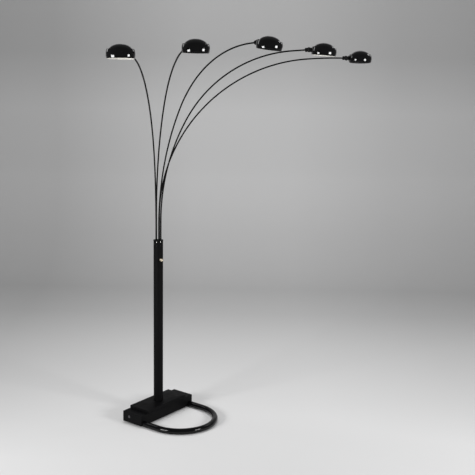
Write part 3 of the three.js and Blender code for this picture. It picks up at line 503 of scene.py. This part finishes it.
screw = {
    "headings": (22, 68), "heights": (970, 950), "head": 2.5, "rise": 1.4, "shank": 1.2, "tip": 20.5,
    "fall": 0.75, "fallPower": 2.4, "slotWidth": 0.7, "slotDepth": 0.6, "slotReach": 0.72,
    "sideEase": 0.15, "endEase": 0.2, "thinnest": 0.6, "rings": 18, "sides": 64, "holeSides": 24,
}
dimmer = {"heading": 22, "height": 875, "hole": 3.7, "holeSides": 32}
cap = {
    "plug": 23.5, "bottom": 946.0, "flangeLow": 973.0, "flange": 26.4, "top": 978.0,
    "edge": 0.8, "lowEdge": 0.3, "plugEdge": 0.5, "sides": 96,
}
wallNear, wallFar = 15, 30  # mm out from the pole's middle, either side of its wall

# the arms: hole and heading in degrees, lengths in mm, bends as (radius, degrees);
# droop tips the shade forward and roll turns the neck, in degrees
arms = [
    {"hole": 108, "heading": 56.3, "rise": 62, "bends": [(1300, 13.7), (780, 73.3)],
     "tail": 143, "droop": -4.2, "roll": 0.8},
    {"hole": 180, "heading": 36.9, "rise": 120, "bends": [(1000, 38.3), (700, 49.2)],
     "tail": 44, "droop": 2.2, "roll": 0},
    {"hole": 36, "heading": 9.3, "rise": 76, "bends": [(1250, 30.6), (650, 53.9)],
     "tail": 30, "droop": 6.8, "roll": -2.4},
    {"hole": -36, "heading": -15.4, "rise": 101, "bends": [(1081, 29.8), (717, 55.8)],
     "tail": 66, "droop": 2.8, "roll": -3.5},
    {"hole": -108, "heading": -42.4, "rise": 125, "bends": [(833, 84.9), (2041, 4.7)],
     "tail": 31, "droop": -1.8, "roll": 5.3},
]
armTube = {"radius": 3.8, "bore": 2.8, "foot": 897.3, "sides": 20, "spacing": 14.0}
armHole = {"radius": armTube["radius"] + slipGap, "circle": 13.5, "low": 900.0, "high": 990.0, "sides": 32}

inside, edgeStart = pole["radius"] - pole["wall"], pole["top"] - pole["edge"]
poleProfile = [
    (inside, pole["foot"]), (pole["radius"], pole["foot"]), (pole["radius"], edgeStart),
    (pole["radius"] - pole["edge"], pole["top"]), (inside, pole["top"]),
]
polePiece = turnedPiece("pole_sleeve", poleProfile, pole["sides"], level, "base", "black_pole",
                        ["pole_tube"], ringed=True)
screwSpots = [(heading, height) for height in screw["heights"] for heading in screw["headings"]]
screwHole = screw["shank"] + seatGap
cutters = [rodCutter(screwHole, wallNear, wallFar, outOfPole(*spot), screw["holeSides"])
           for spot in screwSpots]
knobOut = outOfPole(dimmer["heading"], dimmer["height"])
cutters.append(rodCutter(dimmer["hole"], wallNear, wallFar, knobOut, dimmer["holeSides"]))
carve(polePiece, cutters)

capProfile = softCorners([
    (0, cap["bottom"], 0), (cap["plug"], cap["bottom"], cap["plugEdge"]), (cap["plug"], cap["flangeLow"], 0),
    (cap["flange"], cap["flangeLow"], cap["lowEdge"]), (cap["flange"], cap["top"], cap["edge"]),
    (0, cap["top"], 0)])
capPiece = turnedPiece("pole_cap", capProfile, cap["sides"], level, "base", "black_cap", ["top_cap"])
cutters = [rodCutter(armHole["radius"], armHole["low"], armHole["high"],
                     Matrix.Translation(floorward(arm["hole"]) * armHole["circle"]), armHole["sides"])
           for arm in arms]
cutters += [rodCutter(screwHole, screw["tip"] - seatGap, wallFar, outOfPole(*spot), screw["holeSides"])
            for spot in screwSpots]
carve(capPiece, cutters)


def crossScrew(name, matrix, slot, nodes):
    # domed head as a polar grid: height = base + rise sqrt(1 - fall s^power), lower within either slot
    share = np.linspace(0, 1, screw["rings"])[:, None]
    angle = np.linspace(0, 2 * math.pi, screw["sides"], endpoint=False)[None]
    radius = screw["head"] * share
    base = pole["radius"] + seatGap
    dome = np.sqrt(np.clip(1 - screw["fall"] * share ** screw["fallPower"], 0, 1))
    height = base + screw["rise"] * dome + 0 * angle
    x, y = radius * np.cos(angle), radius * np.sin(angle)
    for off in (x, y):
        within = np.clip((screw["slotWidth"] / 2 - np.abs(off)) / screw["sideEase"], 0, 1)
        reach = np.clip((screw["head"] * screw["slotReach"] - radius) / screw["endEase"], 0, 1)
        height = height - screw["slotDepth"] * within * reach * (height > base + screw["thinnest"])
    top = np.stack([x, y, height], axis=-1)
    rest = revolve([(screw["head"], base), (screw["shank"], base), (screw["shank"], screw["tip"]),
                    (0, screw["tip"])], screw["sides"])
    points = np.concatenate([top, rest])
    faces = gridFaces(len(points), screw["sides"], False, True)
    return addPiece(name, placed(points, matrix), faces, "base", slot, nodes)


for number, spot in enumerate(screwSpots, 1):
    # the lower pair gets the dark pin finish, the upper pair the plated one
    slot = "plated_steel" if number <= len(screw["headings"]) else "black_pin"
    crossScrew(f"cap_screw_cross_{number}", outOfPole(*spot), slot, [f"cap_screw_{number}"])

# the knob's heights are mm out from the pole's middle
knob = {
    "radius": 6.75, "back": 26.3, "front": 43.4, "recess": 5.8, "recessEnd": 29.3, "shaft": 1.6,
    "shaftEnd": 17.0, "rimLow": 29.5, "grooveLow": 30.0, "gripLow": 30.6, "gripMiddle": 35.5,
    "gripHigh": 40.6, "grooveHigh": 41.0, "rimHigh": 41.4, "groove": 6.25, "grip": 6.65, "nose": 6.55,
    "dish": 4.6, "dishFloor": 4.2, "dishEnd": 43.0, "edge": 1.2, "backEdge": 0.5, "innerEdge": 0.3,
    "dishEdge": 0.2, "flutes": 24, "flute": 0.22, "sides": 96,
}


def knobPiece():
    # turned knob whose grip radius falls by depth (1 + cos(n a)) / 2 between the two plain rims
    profile = softCorners([
        (0, knob["shaftEnd"], 0), (knob["shaft"], knob["shaftEnd"], knob["innerEdge"]),
        (knob["shaft"], knob["recessEnd"], 0), (knob["recess"], knob["recessEnd"], 0),
        (knob["recess"], knob["back"], knob["innerEdge"]), (knob["radius"], knob["back"], knob["backEdge"]),
        (knob["radius"], knob["rimLow"], 0), (knob["groove"], knob["grooveLow"], 0),
        (knob["grip"], knob["gripLow"], 0), (knob["grip"], knob["gripMiddle"], 0),
        (knob["grip"], knob["gripHigh"], 0), (knob["groove"], knob["grooveHigh"], 0),
        (knob["nose"], knob["rimHigh"], 0), (knob["nose"], knob["front"], knob["edge"]),
        (knob["dish"], knob["front"], knob["dishEdge"]),
        (knob["dishFloor"], knob["dishEnd"], knob["dishEdge"]), (0, knob["dishEnd"], 0)])
    points = revolve(profile, knob["sides"])
    angle = np.linspace(0, 2 * math.pi, knob["sides"], endpoint=False)
    height = points[..., 2]
    outer = np.hypot(points[..., 0], points[..., 1]) > (knob["recess"] + knob["groove"]) / 2
    grip = outer * (height >= knob["gripLow"]) * (height <= knob["gripHigh"])
    dent = knob["flute"] * (1 + np.cos(knob["flutes"] * angle))[None] / 2 * grip
    points[..., :2] *= (1 - dent / knob["radius"])[..., None]
    faces = gridFaces(len(profile), knob["sides"], False, True)
    addPiece("dimmer_grip", placed(points, knobOut), faces, "knob", "pale_brass", ["dimmer_knob"])


knobPiece()

# the grommet's heights are mm out from the housing's end
grommet = {
    "bore": 3.2, "barrel": 5.6, "flange": 7.0, "back": -7.0, "seat": 0.3, "front": 1.9,
    "backEdge": 0.4, "seatEdge": 0.3, "edge": 0.9, "sides": 48,
}
grommetProfile = softCorners([
    (grommet["bore"], grommet["front"], 0), (grommet["bore"], grommet["back"], grommet["backEdge"]),
    (grommet["barrel"], grommet["back"], grommet["backEdge"]), (grommet["barrel"], grommet["seat"], 0),
    (grommet["flange"], grommet["seat"], grommet["seatEdge"]),
    (grommet["flange"], grommet["front"], grommet["edge"]), (grommet["bore"], grommet["front"], 0)])[:-1]
turnedPiece("inlet_grommet", grommetProfile, grommet["sides"], inletOut, "base", "grey_rubber",
            ["inlet_bushing"], ringed=True)
print("pole and knob made")

# shades, necks and lamps are drawn about the shade's own axis, with the rim at height 0
shade = {
    "radius": 60.0, "wall": 1.2, "bandCentre": 18.6, "bandTop": 38.4, "domeWidth": 50.4, "domeRise": 30.0,
    "domeBase": 29.4, "groove": 35.4, "grooveSoft": 0.6, "footSoft": 0.5, "cornerSoft": 0.4, "lipSoft": 0.3,
    "lipOut": 0.25, "rimLow": 0.5, "rimSoft": 0.35, "neckHeight": 23.0, "neckHole": 9.8,
    "holeFrom": -66.0, "holeTo": -48.0, "holeSides": 40,
    "sides": 128, "domeRows": 26, "bandRows": 22, "innerBandRows": 18, "innerDomeRows": 24,
}
neckLift = Matrix.Translation((0, 0, shade["neckHeight"]))
neckDrop = shade["neckHeight"] - shade["bandCentre"]


def ellipseArc(width, rise, centre, low, high, steps):
    # points at angle a on an ellipse: width cos a out, centre + rise sin a up
    first = math.asin(max(-1, min(1, (low - centre) / rise)))
    last = math.asin(max(-1, min(1, (high - centre) / rise)))
    angle = np.linspace(first, last, steps)
    return np.stack([width * np.cos(angle), centre + rise * np.sin(angle)], axis=1)


def shadeProfile():
    # from the dome's top: elliptic dome, flat groove, lip, round band and rim, then the same shapes
    # one wall further in; the second value is the row where the inside starts
    wall, radius, centre, bandTop = shade["wall"], shade["radius"], shade["bandCentre"], shade["bandTop"]
    width, rise, base = shade["domeWidth"], shade["domeRise"], shade["domeBase"]
    floor, soft = shade["groove"], shade["lipSoft"]
    lip = math.sqrt(radius ** 2 - (bandTop - centre) ** 2)
    dome = ellipseArc(width, rise, base, base + rise, floor + shade["grooveSoft"], shade["domeRows"])
    dome[0, 0] = 0
    groove = np.array([
        (dome[-1, 0] + shade["footSoft"], floor), (lip - wall - shade["cornerSoft"], floor),
        (lip - wall, floor + shade["cornerSoft"]), (lip - wall, bandTop - soft),
        (lip - wall + soft, bandTop), (lip - shade["lipOut"], bandTop)])
    band = ellipseArc(radius, radius, centre, bandTop - soft, shade["rimLow"], shade["bandRows"])
    rim = np.array([(band[-1, 0] - shade["rimSoft"], 0.0), (band[-1, 0] - wall + soft, 0.0)])
    under = floor - wall
    innerBand = ellipseArc(radius - wall, radius - wall, centre, shade["cornerSoft"],
                           under - shade["footSoft"], shade["innerBandRows"])
    innerBand = np.vstack([innerBand, [(innerBand[-1, 0] - shade["footSoft"], under)]])
    innerDome = ellipseArc(width - wall, rise - wall, base, under, base + rise - wall, shade["innerDomeRows"])
    innerDome[-1, 0] = 0
    outside = np.vstack([dome, groove, band, rim])
    return np.vstack([outside, innerBand, innerDome]), len(outside) - 1


def spunShade(number, matrix, body):
    # the profile turned about Z, black outside and white inside, with a hole for the neck
    profile, turnAt = shadeProfile()
    points = revolve(profile, shade["sides"])
    faces = gridFaces(len(profile), shade["sides"], False, True)
    within = np.repeat(np.arange(len(profile) - 1) >= turnAt, shade["sides"]).astype(np.int32)
    piece = addPiece(f"spun_shade_{number}", placed(points, matrix), faces, body, "black_shade",
                     [f"shade_{number}"], [finishes["black_shade"], finishes["white_inside"]], within)
    carve(piece, [rodCutter(shade["neckHole"], shade["holeFrom"], shade["holeTo"],
                            matrix @ neckLift @ alongX, shade["holeSides"])])


# along X from the arm's end: a collar, a fork with a pin, then the tongue and cup on the shade
neck = {
    "sleeve": 5.0, "collar": 10.0, "bore": 4.2, "web": 3.0, "pin": 14.0, "pinToAxis": 74.0, "eye": 2.8,
    "cheek": 11.5, "cheekHalf": 8.0, "cheekLow": 3.3, "cheekHigh": 8.3, "cheekEdge": 0.5,
    "tongue": 10.4, "tongueHalf": 7.5, "tongueSide": 3.0, "tongueEdge": 0.4, "overlap": 1.0,
    "flange": 12.0, "cup": 12.5, "cupNeck": 9.4, "cupBore": 5.0, "cupFloor": 2.0, "inset": 7.0,
    "lean": 0.2, "roundBack": 1.2, "roundWeb": 0.6, "roundCup": 0.9, "roundEnd": 0.4, "roundLip": 0.3,
    "sides": 48, "discPoints": 64, "straightPoints": 5,
}
rivet = {"head": 4.5, "rise": 1.5, "shank": 2.5, "crown": 0.8, "foot": 0.1, "sides": 40}


def slabRing(discRadius, discX, farX, halfHeight):
    # side outline of a plate: round about the pin, square toward farX
    side = 1 if farX > discX else -1
    lean = math.asin(halfHeight / discRadius)
    angle = np.linspace(lean, 2 * math.pi - lean, neck["discPoints"])
    disc = np.stack([discX + side * discRadius * np.cos(angle), discRadius * np.sin(angle)], axis=1)
    away = np.linspace(disc[-1, 0], farX, neck["straightPoints"])[1:]
    home = np.linspace(farX, disc[0, 0], neck["straightPoints"])[:-1]
    bottom = np.stack([away, np.full(len(away), -halfHeight)], axis=1)
    top = np.stack([home, np.full(len(home), halfHeight)], axis=1)
    return np.vstack([disc, bottom, top])


def slabPoints(outline, centre, low, high, edge):
    # outline ring and pin hole joined on both faces, with the outer edges softened
    middle = np.array([centre, 0.0])
    away = outline - middle
    length = np.linalg.norm(away, axis=1, keepdims=True)
    inner = middle + away / length * (length - edge)
    eye = middle + away / length * neck["eye"]
    rings = []
    for ring, y in ((eye, low), (inner, low), (outline, low + edge),
                    (outline, high - edge), (inner, high), (eye, high)):
        rings.append(np.stack([ring[:, 0], np.full(len(ring), y), ring[:, 1]], axis=1))
    return np.stack(rings)


def neckPieces(number, collarMatrix, headMatrix, neckBody, headBody):
    # a turned barrel with two slabs, a turned rivet across them, and a turned cup with one slab
    barrel = softCorners([
        (neck["bore"], -neck["sleeve"], 0), (neck["collar"], -neck["sleeve"], neck["roundBack"]),
        (neck["collar"], neck["web"], neck["roundWeb"]), (0, neck["web"], 0), (0, seatGap, 0),
        (neck["bore"], seatGap, 0), (neck["bore"], -neck["sleeve"], 0)])[:-1]
    points = [placed(revolve(barrel, neck["sides"]), collarMatrix @ alongX)]
    faces = [gridFaces(len(barrel), neck["sides"], True, True)]
    outline = slabRing(neck["cheek"], neck["pin"], neck["web"] - neck["overlap"], neck["cheekHalf"])
    for low, high in ((neck["cheekLow"], neck["cheekHigh"]), (-neck["cheekHigh"], -neck["cheekLow"])):
        grid = slabPoints(outline, neck["pin"], low, high, neck["cheekEdge"])
        faces.append(gridFaces(*grid.shape[:2], True, True) + sum(len(part) for part in points))
        points.append(placed(grid, collarMatrix))
    addPiece(f"neck_fork_{number}", np.vstack(points), np.vstack(faces), neckBody, "black_collar",
             [f"swivel_collar_{number}"])

    across = Matrix.Translation((neck["pin"], 0, 0)) @ Matrix.Rotation(-math.pi / 2, 4, "X")
    half = neck["cheekHigh"] + seatGap
    tall = half + rivet["rise"]
    rivetProfile = softCorners([
        (0, -tall, 0), (rivet["head"], -tall, rivet["crown"]), (rivet["head"], -half, rivet["foot"]),
        (rivet["shank"], -half, 0), (rivet["shank"], half, 0), (rivet["head"], half, rivet["foot"]),
        (rivet["head"], tall, rivet["crown"]), (0, tall, 0)])
    turnedPiece(f"neck_rivet_{number}", rivetProfile, rivet["sides"], collarMatrix @ across, neckBody,
                "black_pin", [f"pivot_pin_{number}"])

    pinX = -neck["pinToAxis"]
    start, end = pinX + neck["flange"], -shade["radius"] + neck["inset"]
    seat = -math.sqrt((shade["radius"] + seatGap) ** 2 - neckDrop ** 2) - seatGap
    floor = start + neck["cupFloor"]
    cupProfile = softCorners([
        (0, start, 0), (neck["cup"], start, neck["roundCup"]),
        (neck["cup"], seat - neck["lean"], neck["roundLip"]),
        (neck["cupNeck"], seat, 0), (neck["cupNeck"], end, neck["roundEnd"]),
        (neck["cupBore"], end, neck["roundLip"]), (neck["cupBore"], floor, 0), (0, floor, 0)])
    points = placed(revolve(cupProfile, neck["sides"]), headMatrix @ neckLift @ alongX)
    faces = gridFaces(len(cupProfile), neck["sides"], False, True)
    outline = slabRing(neck["tongue"], pinX, start + neck["overlap"], neck["tongueHalf"])
    grid = slabPoints(outline, pinX, -neck["tongueSide"], neck["tongueSide"], neck["tongueEdge"])
    faces = np.vstack([faces, gridFaces(*grid.shape[:2], True, True) + len(points)])
    points = np.vstack([points, placed(grid, headMatrix @ neckLift)])
    addPiece(f"shade_boss_{number}", points, faces, headBody, "black_collar", [f"lamp_cup_{number}"])


# heights along the neck's axis, from the shade's middle
holder = {
    "radius": 10.8, "waist": 10.2, "waistLow": -43.4, "waistHigh": -34.0, "step": 0.6, "front": -30.0,
    "mouth": 8.4, "floor": -48.0, "wireHole": 3.0, "rear": 9.8, "back": -52.6, "wallGap": 0.9,
    "edge": 0.2, "frontEdge": 0.6, "mouthEdge": 0.3, "sides": 48,
}
# the neck is (added to the base's radius, height) up to where the globe starts
bulb = {
    "radius": 18.0, "centre": -2.0, "base": 8.0, "back": -47.7, "contact": 4.0, "join": 2.0,
    "neck": ((-0.4, -44.7), (-0.2, -28.0), (0.2, -24.0), (1.0, -20.5)), "sides": 64, "globeRows": 30,
}


def lampPieces(number, headMatrix, headBody):
    # a turned holder with a waist, shouldered where the shade's wall curves away, and a round bulb
    matrix = headMatrix @ neckLift @ alongX
    radius, waist, rear, edge = holder["radius"], holder["waist"], holder["rear"], holder["edge"]
    low, high, front = holder["waistLow"], holder["waistHigh"], holder["front"]
    mouth, floor, wireHole, back = holder["mouth"], holder["floor"], holder["wireHole"], holder["back"]
    innerRadius = shade["radius"] - shade["wall"] - holder["wallGap"]
    shoulder = -math.sqrt(innerRadius ** 2 - (radius + neckDrop) ** 2)
    holderProfile = softCorners([
        (rear, shoulder, 0), (radius, shoulder, edge), (radius, low - holder["step"], 0), (waist, low, 0),
        (waist, high, 0), (radius, high + holder["step"], 0), (radius, front, holder["frontEdge"]),
        (mouth, front, holder["mouthEdge"]), (mouth, floor, 0), (wireHole, floor, edge),
        (wireHole, back, edge), (rear, back, 0), (rear, shoulder, 0)])[:-1]
    turnedPiece(f"lampholder_skirt_{number}", holderProfile, holder["sides"], matrix, headBody,
                "white_holder", [f"lampholder_{number}"], ringed=True)
    neckStart = bulb["centre"] - math.sqrt(bulb["radius"] ** 2 - (bulb["base"] + bulb["join"]) ** 2)
    globe = ellipseArc(bulb["radius"], bulb["radius"], bulb["centre"], neckStart,
                       bulb["centre"] + bulb["radius"], bulb["globeRows"])
    globe[-1, 0] = 0
    neckRows = np.array(bulb["neck"]) + (bulb["base"], 0)
    bulbProfile = np.vstack([[(0, bulb["back"]), (bulb["contact"], bulb["back"])], neckRows, globe])
    turnedPiece(f"frosted_bulb_{number}", bulbProfile, bulb["sides"], matrix, headBody,
                "frosted_glass", [f"bulb_{number}"])


for number, arm in enumerate(arms, 1):
    out = floorward(arm["heading"])
    side = upward.cross(out)
    foot = floorward(arm["hole"]) * armHole["circle"]
    foot.z = armTube["foot"]
    stretches = [{"length": cap["top"] - armTube["foot"] + arm["rise"]}]
    stretches += [{"radius": radius, "sweep": degrees} for radius, degrees in arm["bends"]]
    stretches.append({"length": arm["tail"]})
    path, turned = bentPath(foot, upward, out, stretches, armTube["spacing"])
    sweptTube(f"arm_tube_{number}", path, side, armTube, f"arm_{number}", "black_arm", [f"arm_{number}"])
    tangent = out * math.sin(turned) + upward * math.cos(turned)
    collarMatrix = (basis(tangent, side, tangent.cross(side), path[-1])
                    @ Matrix.Rotation(math.radians(arm["roll"]), 4, "X"))
    nod = math.pi / 2 - turned + math.radians(arm["droop"])
    headMatrix = (collarMatrix @ Matrix.Translation((neck["pin"], 0, 0)) @ Matrix.Rotation(nod, 4, "Y")
                  @ Matrix.Translation((neck["pinToAxis"], 0, -shade["neckHeight"])))
    spunShade(number, headMatrix, f"head_{number}")
    neckPieces(number, collarMatrix, headMatrix, f"neck_{number}", f"head_{number}")
    lampPieces(number, headMatrix, f"head_{number}")
print("arms and heads made")

# studio sweep: a floor that curves up into a wall behind the lamp, square to the camera; in metres
sweep = {
    "near": -9.0, "bendAt": 2.55, "bendRadius": 0.9, "height": 4.2, "halfWidth": 12.0,
    "ahead": (0.79953, 0.60063), "floorRows": 60, "bendRows": 24, "wallRows": 30, "columns": 60,
    # the paper's grey with painted shade, as (share, grey): it follows the fall of the studio's light and
    # dips in a dark band where the floor curves up; along the run, 0.5 is the lamp's own place and 0.1 is a
    # metre
    "runShare": 0.1,
    "runShadeGreys": [(0.0, 0.45), (0.32, 0.5), (0.4, 0.69), (0.5, 0.69), (0.55, 0.64), (0.62, 0.575),
                 (0.7, 0.475), (0.77, 0.44), (0.84, 0.575), (0.89, 0.7), (0.95, 0.68), (1.0, 0.52)],
    # sideways, with painted shade that darkens the sides: 0.5 is the middle and 0.1 is 0.6 m
    "sideSpan": 6.0,
    "sideShadeGreys": [(0.0, 0.84), (0.3, 0.755), (0.5, 0.96), (0.65, 0.98), (0.8, 0.91), (1.0, 0.92)],
    # painted shade: the wall's grey darkens to the sides, and the floor's in front of the lamp hardly does
    "sideShadeStart": 0.42, "sideShadeLength": 0.08, "sideShadeLeast": 0.3,
    "roughness": 0.4,
}


def makeSweepFinish():
    # matt paper whose grey has painted shade in it; it lets the camera through from behind, so that other
    # views aren't blocked
    finish = bpy.data.materials.new("matt_paper_sweep_painted_shade")
    finish.use_nodes = True
    tree = finish.node_tree
    tree.nodes.clear()
    tones = []
    for source, stops in (("run", sweep["runShadeGreys"]), ("across", sweep["sideShadeGreys"])):
        share = addNode(tree, "ShaderNodeAttribute", attribute_name=source).outputs["Fac"]
        ramp = addNode(tree, "ShaderNodeValToRGB", {"Fac": share})
        setRamp(ramp, [(spot, (grey, grey, grey, 1)) for spot, grey in stops])
        tones.append(ramp.outputs["Color"])
    shaded = addNode(tree, "ShaderNodeVectorMath", {0: tones[0], 1: tones[1]}, operation="MULTIPLY")
    paper = addNode(tree, "ShaderNodeBsdfDiffuse", {
        "Color": shaded.outputs["Vector"], "Roughness": sweep["roughness"]})
    clear = addNode(tree, "ShaderNodeBsdfTransparent")
    back = addNode(tree, "ShaderNodeNewGeometry").outputs["Backfacing"]
    mixed = addNode(tree, "ShaderNodeMixShader", {
        0: back, 1: paper.outputs["BSDF"], 2: clear.outputs["BSDF"]})
    addNode(tree, "ShaderNodeOutputMaterial", {"Surface": mixed.outputs["Shader"]})
    return finish


def makeSweep():
    # a profile of floor, quarter circle and wall carried sideways; run and across are kept for its grey and
    # its painted shade
    bendAt, radius = sweep["bendAt"], sweep["bendRadius"]
    floorRun = np.linspace(sweep["near"], bendAt, sweep["floorRows"])
    bend = np.linspace(0, math.pi / 2, sweep["bendRows"])[1:]
    wallRise = np.linspace(radius, sweep["height"], sweep["wallRows"])[1:]
    depth = np.concatenate([floorRun, bendAt + radius * np.sin(bend),
                            np.full(len(wallRise), bendAt + radius)])
    height = np.concatenate([0 * floorRun, radius * (1 - np.cos(bend)), wallRise])
    side = np.linspace(-sweep["halfWidth"], sweep["halfWidth"], sweep["columns"])
    ahead = np.array([*sweep["ahead"], 0.0])
    sideways = np.array([ahead[1], -ahead[0], 0.0])
    points = (depth[:, None, None] * ahead + side[None, :, None] * sideways
              + height[:, None, None] * np.array(upward))
    mesh = bpy.data.meshes.new("studio_sweep")
    faces = gridFaces(len(depth), len(side), False, False)[:, ::-1]
    mesh.from_pydata(points.reshape(-1, 3).tolist(), [], faces.tolist())
    steps = np.hypot(np.diff(depth), np.diff(height))
    run = np.concatenate([[0], np.cumsum(steps)]) - abs(sweep["near"])
    share = np.clip(0.5 + run * sweep["runShare"], 0, 1)
    # painted shade: the darkening to the sides grows from the floor up onto the wall
    fall = np.clip((share - sweep["sideShadeStart"]) / sweep["sideShadeLength"], sweep["sideShadeLeast"], 1)
    across = np.clip(0.5 + np.outer(fall, side) / sweep["sideSpan"], 0, 1)
    for name, values in (("run", np.repeat(share, len(side))), ("across", across.ravel())):
        layer = mesh.attributes.new(name, "FLOAT", "POINT")
        layer.data.foreach_set("value", values.astype(np.float32))
    mesh.materials.append(makeSweepFinish())
    mesh.shade_smooth()
    linkObject("studio_sweep", mesh)


makeSweep()

# lamps: (place, aim, width, height, watts), in metres
lamps = {
    "left_box": ((-3.0, 0.34, 1.3), (0.0, -0.3, 1.6), 1.15, 0.8, 64.0),
    "right_box": ((0.25, -3.5, 1.5), (0.0, -0.3, 1.6), 1.0, 0.75, 57.0),
    "top_box": ((0.9, 0.7, 5.2), (0.0, 0.0, 0.0), 4.0, 3.0, 160.0),
    "back_left": ((-0.8, 2.6, 2.9), (0.0, -0.3, 1.9), 0.5, 1.2, 8.0),
    "back_right": ((2.9, -1.2, 2.9), (0.0, -0.3, 1.9), 0.5, 1.2, 8.0),
}
air = {"colour": "#b4b4b6", "strength": 0.3}

for name, (place, aim, width, height, watts) in lamps.items():
    light = bpy.data.lights.new(name, "AREA")
    light.shape = "RECTANGLE"
    light.size, light.size_y, light.energy = width, height, watts
    lamp = linkObject(name, light)
    lamp.visible_glossy = name != "top_box"  # a ceiling's light has no edges to mirror
    away = (Vector(place) - Vector(aim)).normalized()
    lamp.matrix_world = Matrix.Translation(Vector(place)) @ away.to_track_quat("Z", "Y").to_matrix().to_4x4()

world = bpy.data.worlds.new("studio_air")
bpy.context.scene.world = world
world.use_nodes = True
world.node_tree.nodes.clear()
glow = addNode(world.node_tree, "ShaderNodeBackground", {
    "Color": linear(air["colour"]), "Strength": air["strength"]})
addNode(world.node_tree, "ShaderNodeOutputWorld", {"Surface": glow.outputs["Background"]})
print("studio made")
